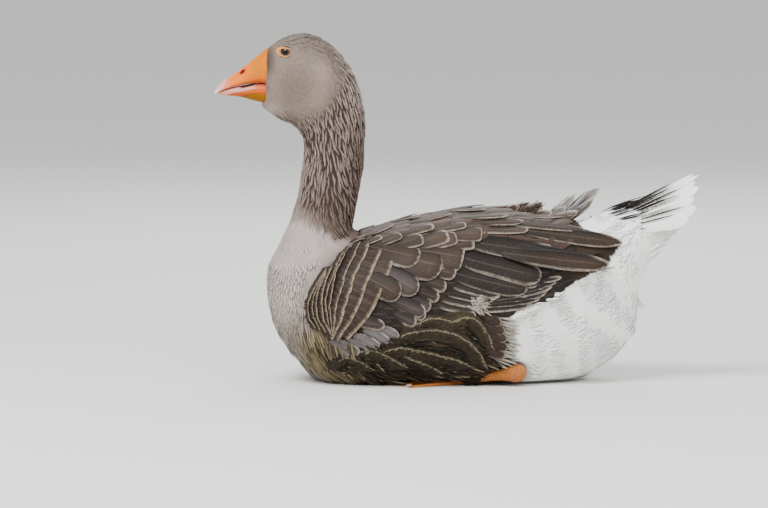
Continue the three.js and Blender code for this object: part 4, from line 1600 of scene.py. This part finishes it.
# How far below the upper half's edge the lower half is creased.
JAW_EDGE, LIP_EDGE = 11.6, 6.9
NOSTRIL = np.array([-216.8, 339.9])
NOSTRIL_WAY = unit(np.array([-0.78, -0.63]))
NOSTRIL_DEPTH, FURROW_DEPTH, RIM_HEIGHT = 2.2, 0.5, 0.35


def through(table, t):
    """A smooth line through the rows of a table, at t from 0 to 1."""
    table = np.array(table, float)
    wide = np.concatenate([2 * table[:1] - table[1:2], table, 2 * table[-1:] - table[-2:-1]])
    place = np.clip(t, 0, 1) * (len(table) - 1)
    n = np.minimum(place.astype(int), len(table) - 2)
    u = (place - n)[:, None]
    a, b, c, d = (wide[n + k] for k in range(4))
    square, cube = 2 * a - 5 * b + 4 * c - d, 3 * b - a - 3 * c + d
    return 0.5 * (2 * b + (c - a) * u + square * u**2 + cube * u**3)


def lofted(ribs, belly, rows, around):
    """A closed form through ribs, widest at belly of its height."""
    bm = bmesh.new()
    bmesh.ops.create_uvsphere(bm, u_segments=around, v_segments=rows, radius=1)
    ball = np.array([v.co[:] for v in bm.verts])
    t = np.arccos(np.clip(ball[:, 2], -1, 1)) / math.pi
    turn = np.arctan2(ball[:, 0], ball[:, 1])
    low_y, low_z, high_y, high_z, half = through(ribs, t).T
    low, high = np.stack([low_y, low_z], 1), np.stack([high_y, high_z], 1)
    mid = low + (high - low) * belly
    up = np.cos(turn)[:, None]
    end = np.where(up > 0, high, low)
    flat = mid + (end - mid) * np.abs(up)
    poles = np.abs(ball[:, 2]) > 0.99999
    across = np.where(poles, 0, np.maximum(half, 0) * np.sin(turn))
    for v, x, (y, z) in zip(bm.verts, across, flat):
        v.co = (x * MM, y * MM, z * MM)
    bmesh.ops.recalc_face_normals(bm, faces=bm.faces)
    return bm


def cut_off(bm, place, ahead):
    """Takes away what lies ahead of a plane and closes the cut."""
    geometry = bm.verts[:] + bm.edges[:] + bm.faces[:]
    cut = bmesh.ops.bisect_plane(bm, geom=geometry, plane_co=place, plane_no=ahead, clear_outer=True)
    edges = [e for e in cut["geom_cut"] if isinstance(e, bmesh.types.BMEdge)]
    bmesh.ops.holes_fill(bm, edges=edges)


def lip_line(y):
    """The height of the upper half's lower edge."""
    return np.interp(y, *LIP.T)


def by_nostril(spots):
    """How far along and across the nostril spots in the side view lie, and whether in its groove."""
    gap = spots - NOSTRIL
    along = gap @ NOSTRIL_WAY
    across = gap @ np.array([-NOSTRIL_WAY[1], NOSTRIL_WAY[0]])
    return along, across, smooth(4, 7, along) * smooth(16, 9, along)


def bill_colours(points, upper):
    y, z = yz(points)
    drift = waves(points, 31, 0.008)
    base = smooth(-226, -202, y)
    colour = painted(
        linear(222, 114, 28), ((194, 108, 0), base), ((226, 132, 112), smooth(-226, -238, y) * 0.8)
    )
    if upper:
        top = smooth(3, 12, z - lip_line(y))
        along, across, ahead = by_nostril(np.stack([y, z], 1))
        ring = np.hypot(along / 6.4, across / 3.1)
        groove = smooth(0.7, 0.2, np.abs(across)) * ahead
        lip = smooth(1.5, 0.3, np.abs(z - lip_line(y) - 0.2))
        colour = painted(
            colour,
            ((206, 84, 4), (1 - top) * base * 0.6),
            ((226, 116, 30), smooth(-203, -215, y) * top * 0.5),
            ((214, 84, 36), smooth(1.3, 0.8, ring) * 0.6),
            # Painted shade in the nostril's opening.
            ((96, 22, 14), smooth(0.7, 0.45, ring)),
            ((205, 95, 60), groove * 0.6),
            ((200, 110, 95), lip * 0.6),
        )
    else:
        below = lip_line(y) - z
        pink = smooth(7.2, 6.0, below) * (1 - 0.85 * smooth(-208, -199, y))
        mouth = smooth(-222, -216, y) * smooth(-202, -207, y) * smooth(3.6, 2.4, below)
        colour = painted(
            linear(140, 90, 0),
            ((200, 86, 10), smooth(JAW_EDGE, 11.0, below)),
            ((212, 150, 140), pink),
            # Painted shade along the two creases of the lower half, in the gap of the open mouth and just
            # under the upper half's edge.
            ((130, 62, 40), smooth(0.9, 0.2, np.abs(below - JAW_EDGE)) * 0.8),
            ((140, 70, 60), smooth(0.8, 0.2, np.abs(below - LIP_EDGE)) * 0.4),
            ((70, 38, 28), np.maximum(mouth, 0.7 * smooth(0.9, 0.3, below))),
            ((225, 140, 110), smooth(-228, -238, y) * 0.8),
        )
    return colour * (1 + 0.04 * drift)[:, None]


def bill_finish(name, gloss=0.45):
    f = Finish(name, Roughness=gloss, Specular_IOR_Level=0.06)
    speck = f.noise(1600, 3)
    tint = f.attribute("tint")
    colour = f.mix(tint, f.mix(tint, (0.5, 0.12, 0.03, 1), 0.25), (speck - 0.5).above(0, 0.25) * 0.5)
    height = f.noise(900, 4) + f.noise(260, 2) * 1.5
    return f.wear(colour, normal=f.bump(height, 0.25, 0.0006))


def bill_piece(name, bm, colours, material, replaced):
    bmesh.ops.remove_doubles(bm, verts=bm.verts, dist=1e-6)
    bmesh.ops.recalc_face_normals(bm, faces=bm.faces)
    piece = built(name, bm)
    set_colour(piece.data, "tint", with_fourth(colours(positions(piece.data)), 1))
    unwrap(piece)
    return finish_piece(piece, material, replaced)


def upper_half():
    bm = lofted(UPPER_BILL, 0.2, 120, 96)
    for v in bm.verts:
        y, z = v.co.y / MM, v.co.z / MM
        along, across, ahead = map(float, by_nostril(np.array([y, z])))
        hole = float(smooth(0.8, 0.25, math.hypot(along / 4.9, across / 2.1)))
        ring = float(smooth(1.8, 1.1, math.hypot(along / 5.2, across / 2.7))) - hole
        groove = math.exp(-(across / 0.8) ** 2) * ahead
        lip = math.exp(-(((z - float(lip_line(y))) - 1.0) / 1.1) ** 2)
        dent = hole * NOSTRIL_DEPTH - ring * RIM_HEIGHT + groove * FURROW_DEPTH
        if abs(v.co.x) > 3 * MM:
            v.co.x -= math.copysign(dent * MM, v.co.x)
        if abs(v.co.x) > 3 * MM:
            v.co.x += math.copysign(lip * RIM_HEIGHT * MM, v.co.x)
    return bm


horn = bill_finish("bill_horn")
upper = upper_half()
cut_off(upper, (0, BILL_END_Y * MM, 0), (0, 1, 0))
nail = upper.copy()
cut_off(upper, *NAIL_CUT)
cut_off(nail, NAIL_CUT[0], (0, 1, -0.45))
for v in nail.verts:
    y, z = v.co.y / MM, v.co.z / MM
    v.co.z += 0.35 * MM * float(smooth(318, 322, z))
bill_piece("bill_top", upper, lambda p: bill_colours(p, True), horn, ["bill_upper"])


def nail_colours(points):
    y, z = yz(points)
    middle, tip = smooth(-240, -246, y), smooth(-244.5, -248, y + 0.3 * (z - 318))
    return painted(linear(224, 156, 146), ((226, 184, 170), middle), ((222, 214, 186), tip))


bill_piece("bill_tip", nail, nail_colours, bill_finish("nail_horn", 0.3), ["bill_nail"])
lower = lofted(LOWER_BILL, 0.7, 100, 80)
cut_off(lower, (0, BILL_END_Y * MM, 0), (0, 1, 0))
for v in lower.verts:
    y, z = v.co.y / MM, v.co.z / MM
    gape = float(smooth(-221, -215, y) * smooth(-203, -208, y))
    top = float(lip_line(y)) - 0.4 - 2.6 * gape
    if abs(v.co.x) < TONGUE_HALF_WIDTH:
        top += 2.2 * gape  # the tongue keeps the mouth dark
    z = min(z + float(smooth(4.5, 0, top - z)) * max(0, top - z), top)
    v.co.z = z * MM
    below = float(lip_line(y)) - z
    crease = math.exp(-((below - JAW_EDGE) / 0.7) ** 2) + 0.6 * math.exp(-((below - LIP_EDGE) / 0.6) ** 2)
    v.co.x -= math.copysign(min(abs(v.co.x), crease * 0.6 * MM), v.co.x)
bill_piece("bill_bottom", lower, lambda p: bill_colours(p, False), horn, ["bill_lower"])


# ---------------------------------------------------------------- eyes and their lids

EYE = np.array([11.9, -168.2, 361.3]) * MM
EYE_RADIUS = 8 * MM
OPENING = np.array([-169.9, 361.9])  # the middle of the gap between the lids, seen from the side
LID_TURN = math.radians(-8)
PUPIL = np.array([-169.0, 361.8]) * MM
IRIS = (0.034, 0.011, 0.006, 1)
DARK_IRIS = (0.014, 0.005, 0.003, 1)
PUPIL_BLACK = (0.002, 0.0015, 0.0015, 1)
# How far the lids' edges reach to the front, back, top and bottom, and their shift to the back.
INNER_LID = (6.0, 5.8, 4.0, 4.0, 0.3)
OUTER_LID = (9.8, 6.7, 5.6, 5.3, -0.2)


def lid_line(turn, front, back, high, low, shift):
    """An almond, pointed to the front, as y and z around the opening. Turn 0 is the rear corner."""
    c, s = np.cos(turn), np.sin(turn)
    y = np.where(c > 0, back, front) * np.sign(c) * np.abs(c) ** 0.9 + shift
    z = np.where(s > 0, high, low) * s
    c, s = math.cos(LID_TURN), math.sin(LID_TURN)
    return np.stack([y * c - z * s, y * s + z * c], -1) + OPENING


def skin_depth(spots, side):
    """How far out the skin lies at spots in the side view."""
    out = []
    for y, z in spots:
        hit = tree.ray_cast(Vector((side * 0.05, y * MM, z * MM)), Vector((-side, 0, 0)))[0]
        out.append(abs(hit.x) if hit else 0.015)
    return np.array(out)


def eye_depth(spots):
    gap = np.hypot(spots[:, 0] * MM - EYE[1], spots[:, 1] * MM - EYE[2])
    return EYE[0] + np.sqrt(np.maximum(EYE_RADIUS**2 - gap**2, 0))


def eye_finish():
    f = Finish("eye", Roughness=0.06, Specular_IOR_Level=0.28)
    split = f.node("ShaderNodeSeparateXYZ", {}, {"Vector": f.place()})
    _, y, z = [Value(f, s) for s in split.socket.node.outputs]
    gap = ((y - PUPIL[0]) ** 2 + (z - PUPIL[1]) ** 2) ** 0.5
    rays = f.noise(2600, 2)
    iris = f.mix(IRIS, DARK_IRIS, rays)
    return f.wear(f.mix(iris, PUPIL_BLACK, 1 - gap.above(2.3 * MM, 2.8 * MM)))


def lid_finish():
    f = Finish("lids", Roughness=0.5, Subsurface_Weight=0.15, Subsurface_Scale=0.001)
    return f.wear(f.attribute("tint"), normal=f.bump(f.noise(2400, 3), 0.4, 0.0004))


eye_look, lid_look = eye_finish(), lid_finish()
for side_name, side in SIDES.items():
    bm = bmesh.new()
    bmesh.ops.create_uvsphere(bm, u_segments=48, v_segments=32, radius=EYE_RADIUS)
    bmesh.ops.translate(bm, verts=bm.verts, vec=Vector(EYE * [side, 1, 1]))
    ball = built(f"eyeball_{side_name}", bm)
    unwrap(ball)
    finish_piece(ball, eye_look, [f"eye_{side_name}"])

    # The lids are a ring whose inner edge lies on the eyeball and whose outer edge lies on the skin.
    around, across = 56, 10
    bm = bmesh.new()
    bmesh.ops.create_grid(bm, x_segments=around, y_segments=across, size=1)
    turns = np.array([(v.co.x + 1) * math.pi for v in bm.verts])
    rolls = np.array([(v.co.y + 1) * math.pi for v in bm.verts])
    inner = lid_line(turns, *INNER_LID)
    outer = lid_line(turns, *OUTER_LID)
    inner_x, outer_x = eye_depth(inner) + 0.15 * MM, skin_depth(outer, side) + 0.5 * MM
    share = (1 - np.cos(rolls))[:, None] / 2
    flat = inner * (1 - share) + outer * share
    share = share[:, 0]
    x = inner_x * (1 - share) + outer_x * share + np.sin(rolls) * (0.9 + 0.5 * share) * MM
    ripple = 0.16 * MM * np.sin(turns * 23) * share * np.maximum(np.sin(rolls), 0)
    for v, (py, pz), px in zip(bm.verts, flat, x + ripple):
        v.co = (side * px, py * MM, pz * MM)
    bmesh.ops.remove_doubles(bm, verts=bm.verts, dist=1e-5)
    bmesh.ops.recalc_face_normals(bm, faces=bm.faces)
    lids = built(f"lids_{side_name}", bm)
    y, z = yz(positions(lids.data))
    low = smooth(1.5, -3, z - OPENING[1] - 0.25 * (OPENING[0] - y))
    front = smooth(-6, -10, y - OPENING[0]) * 0.6
    tint = painted(linear(206, 128, 48), ((190, 132, 18), low), ((220, 132, 56), front))
    set_colour(lids.data, "tint", with_fourth(tint, 1))
    unwrap(lids)
    finish_piece(lids, lid_look)


# ---------------------------------------------------------------- legs

HEEL = np.array([74, 84, 15])
ANKLE = np.array([58, 20, 6])
TOE_LENGTH = 74
TOE_SPREAD = math.radians(27)
FOOT_TURN = math.radians(4)
ORANGE = (0.50, 0.14, 0.01, 1)
PALE_ORANGE = (0.62, 0.22, 0.035, 1)
CREASE_SHADE = (0.26, 0.08, 0.02, 1)
HORN = (0.33, 0.22, 0.15, 1)
CLAW_LENGTH = 9
CLAW_RADIUS = 1.9


def leg_finish():
    """Orange skin in small scales."""
    f = Finish(
        "leg_skin", Roughness=0.5, Specular_IOR_Level=0.4, Subsurface_Weight=0.1, Subsurface_Scale=0.002
    )
    at = {"Scale": 420, "Vector": f.place()}
    cells = f.node("ShaderNodeTexVoronoi", {"feature": "DISTANCE_TO_EDGE"}, at)
    crease = 1 - cells.above(0.02, 0.22)
    mottle = f.noise(160, 3)
    colour = f.mix(ORANGE, PALE_ORANGE, mottle)
    # Painted shade darkens the creases between the scales.
    colour = f.mix(colour, CREASE_SHADE, crease * 0.7)
    return f.wear(colour, normal=f.bump(cells.above(0.0, 0.25), 0.9, 0.001))


def tube_around(rows, around):
    """A closed tube: rows of (centre, radius), the first and last radius nought."""
    bm = bmesh.new()
    bmesh.ops.create_grid(bm, x_segments=around, y_segments=len(rows) - 1, size=1)
    centres = np.array([row[0] for row in rows], float)
    radii = np.array([row[1] for row in rows], float)
    ways = unit(np.gradient(centres, axis=0))
    side = unit(np.cross(ways, [0, 0, 1.0]))
    up = np.cross(side, ways)
    for v in bm.verts:
        row = round((v.co.y + 1) / 2 * (len(rows) - 1))
        turn = (v.co.x + 1) * math.pi
        spot = centres[row] + radii[row] * (side[row] * math.cos(turn) + up[row] * math.sin(turn))
        v.co = spot * MM
    bmesh.ops.remove_doubles(bm, verts=bm.verts, dist=1e-6)
    return bm


def leg_mesh():
    """A shank and its heel behind, and a webbed foot ahead, with three long toes."""
    axis = ANKLE - HEEL
    length = np.linalg.norm(axis)
    axis = axis / length
    profile = [
        (-10.2, 0), (-9.6, 3.4), (-7.8, 6.6), (-4, 9.6), (1, 10.4), (6, 9.6), (12, 7.8), (20, 6.2),
        (32, 5.6), (48, 5.6), (60, 6.0), (length, 5.8), (length + 4, 4), (length + 6, 0),
    ]
    shank = tube_around([(HEEL + axis * d, r) for d, r in profile], 28)
    foot = bmesh.new()
    around, rows = 96, 26
    bmesh.ops.create_grid(foot, x_segments=around, y_segments=rows, size=1)
    for v in foot.verts:
        turn = (v.co.x + 1) * math.pi
        down = (v.co.y + 1) / 2
        a = math.cos(turn) * 1.06
        top = 1 if math.sin(turn) > 0 else 0
        near = min(abs(a), abs(abs(a) - 1))
        toe = math.exp(-(near / (0.16 + 0.3 * (1 - down))) ** 2)
        reach = TOE_LENGTH * (1 - 0.12 * a * a) * (0.84 + 0.16 * math.exp(-(near / 0.1) ** 2))
        knuckle = 0.75 + 0.25 * abs(math.cos(down * math.pi * (3 if abs(a) < 0.5 else 2)))
        rise = (1.1 + (4.6 - 2.4 * down) * toe * knuckle) * min(1, 6 * (1 - down) + 0.05) * top
        angle = a * TOE_SPREAD
        spot = np.array([math.sin(angle), -math.cos(angle)]) * reach * down
        flat = np.array([spot[0] * math.cos(FOOT_TURN) - spot[1] * math.sin(FOOT_TURN),
                         spot[0] * math.sin(FOOT_TURN) + spot[1] * math.cos(FOOT_TURN)])
        height = 0.15 + rise * abs(math.sin(turn)) ** 0.25
        v.co = ((ANKLE[0] + flat[0]) * MM, (ANKLE[1] + flat[1]) * MM, height * MM)
    bmesh.ops.remove_doubles(foot, verts=foot.verts, dist=1e-5)
    return shank, foot


def claw_rows(side_turn):
    """The rows of a claw's tube, at the end of one toe."""
    angle = side_turn * TOE_SPREAD + FOOT_TURN
    way = np.array([math.sin(angle), -math.cos(angle), 0])
    reach = TOE_LENGTH * (1 - 0.12 * side_turn**2) - 5
    base = np.array([ANKLE[0], ANKLE[1], 2.6]) + way * reach
    rows = []
    for share, thick in ((0, 0), (0.04, 0.9), (0.3, 1), (0.6, 0.75), (0.85, 0.4), (1, 0)):
        drop = np.array([0, 0, 0.7 * math.sin(share * 2.6) - 1.3 * share**2])
        rows.append((base + way * CLAW_LENGTH * share + drop, CLAW_RADIUS * thick * 0.85))
    return rows


leg_look = leg_finish()
claw_look = Finish("claws", Roughness=0.4).wear(HORN)
for side_name, side in SIDES.items():
    shank, foot = leg_mesh()
    claws = [tube_around(claw_rows(turn), 14) for turn in (-1, 0, 1)]
    for name, forms, look, replaced in (
        ("shank_skin", [shank], leg_look, ["shank"]),
        ("web", [foot], leg_look, ["foot"]),
        ("claws", claws, claw_look, []),
    ):
        scratch = bpy.data.meshes.new(name)
        whole = bmesh.new()
        for form in forms:
            form.to_mesh(scratch)
            whole.from_mesh(scratch)
            form.free()
        bpy.data.meshes.remove(scratch)
        bmesh.ops.scale(whole, verts=whole.verts, vec=(side, 1, 1))
        for v in whole.verts:
            v.co.z = max(v.co.z, 0.0001)
        bmesh.ops.recalc_face_normals(whole, faces=whole.faces)
        piece = built(f"{name}_{side_name}", whole)
        unwrap(piece)
        finish_piece(piece, look, [f"{node}_{side_name}" for node in replaced])

finish_piece(skin, skin_finish(), FLESH)


# ---------------------------------------------------------------- floor, light and camera

plane = bmesh.new()
bmesh.ops.create_grid(plane, x_segments=2, y_segments=2, size=40)
floor_mesh = bpy.data.meshes.new("floor")
plane.to_mesh(floor_mesh)
floor = new_object("floor", floor_mesh)
ground = Finish("floor_finish", Roughness=0.9, Specular_IOR_Level=0.1)
floor.data.materials.append(ground.wear((0.72, 0.71, 0.69, 1)))


LIT_PLACE = Vector((0, 0, 0.12))


def area_light(name, place, size, power):
    lamp = bpy.data.lights.new(name, "AREA")
    lamp.size = size
    lamp.energy = power
    made = new_object(name, lamp)
    made.location = place
    made.rotation_euler = (LIT_PLACE - Vector(place)).to_track_quat("-Z", "Y").to_euler()


area_light("key_light", (1.5, -1.1, 2.4), 1.5, 122)
area_light("fill_light", (2.2, 1.4, 1.2), 2.0, 38)
area_light("back_light", (-2.0, 0.3, 1.8), 1.8, 38)

world = bpy.data.worlds.new("studio")
world.use_nodes = True
backdrop = world.node_tree.nodes["Background"].inputs
backdrop["Color"].default_value = (0.90, 0.90, 0.92, 1)
backdrop["Strength"].default_value = 1.05
bpy.context.scene.world = world

camera_data = bpy.data.cameras.new("camera")
camera_data.lens = LENS
camera_data.sensor_width = SENSOR
camera_data.clip_end = 100
camera = new_object("camera", camera_data)
camera.location = Vector(eye_point)
camera.rotation_euler = (-Vector(toward_camera)).to_track_quat("-Z", "Y").to_euler()
bpy.context.scene.camera = camera
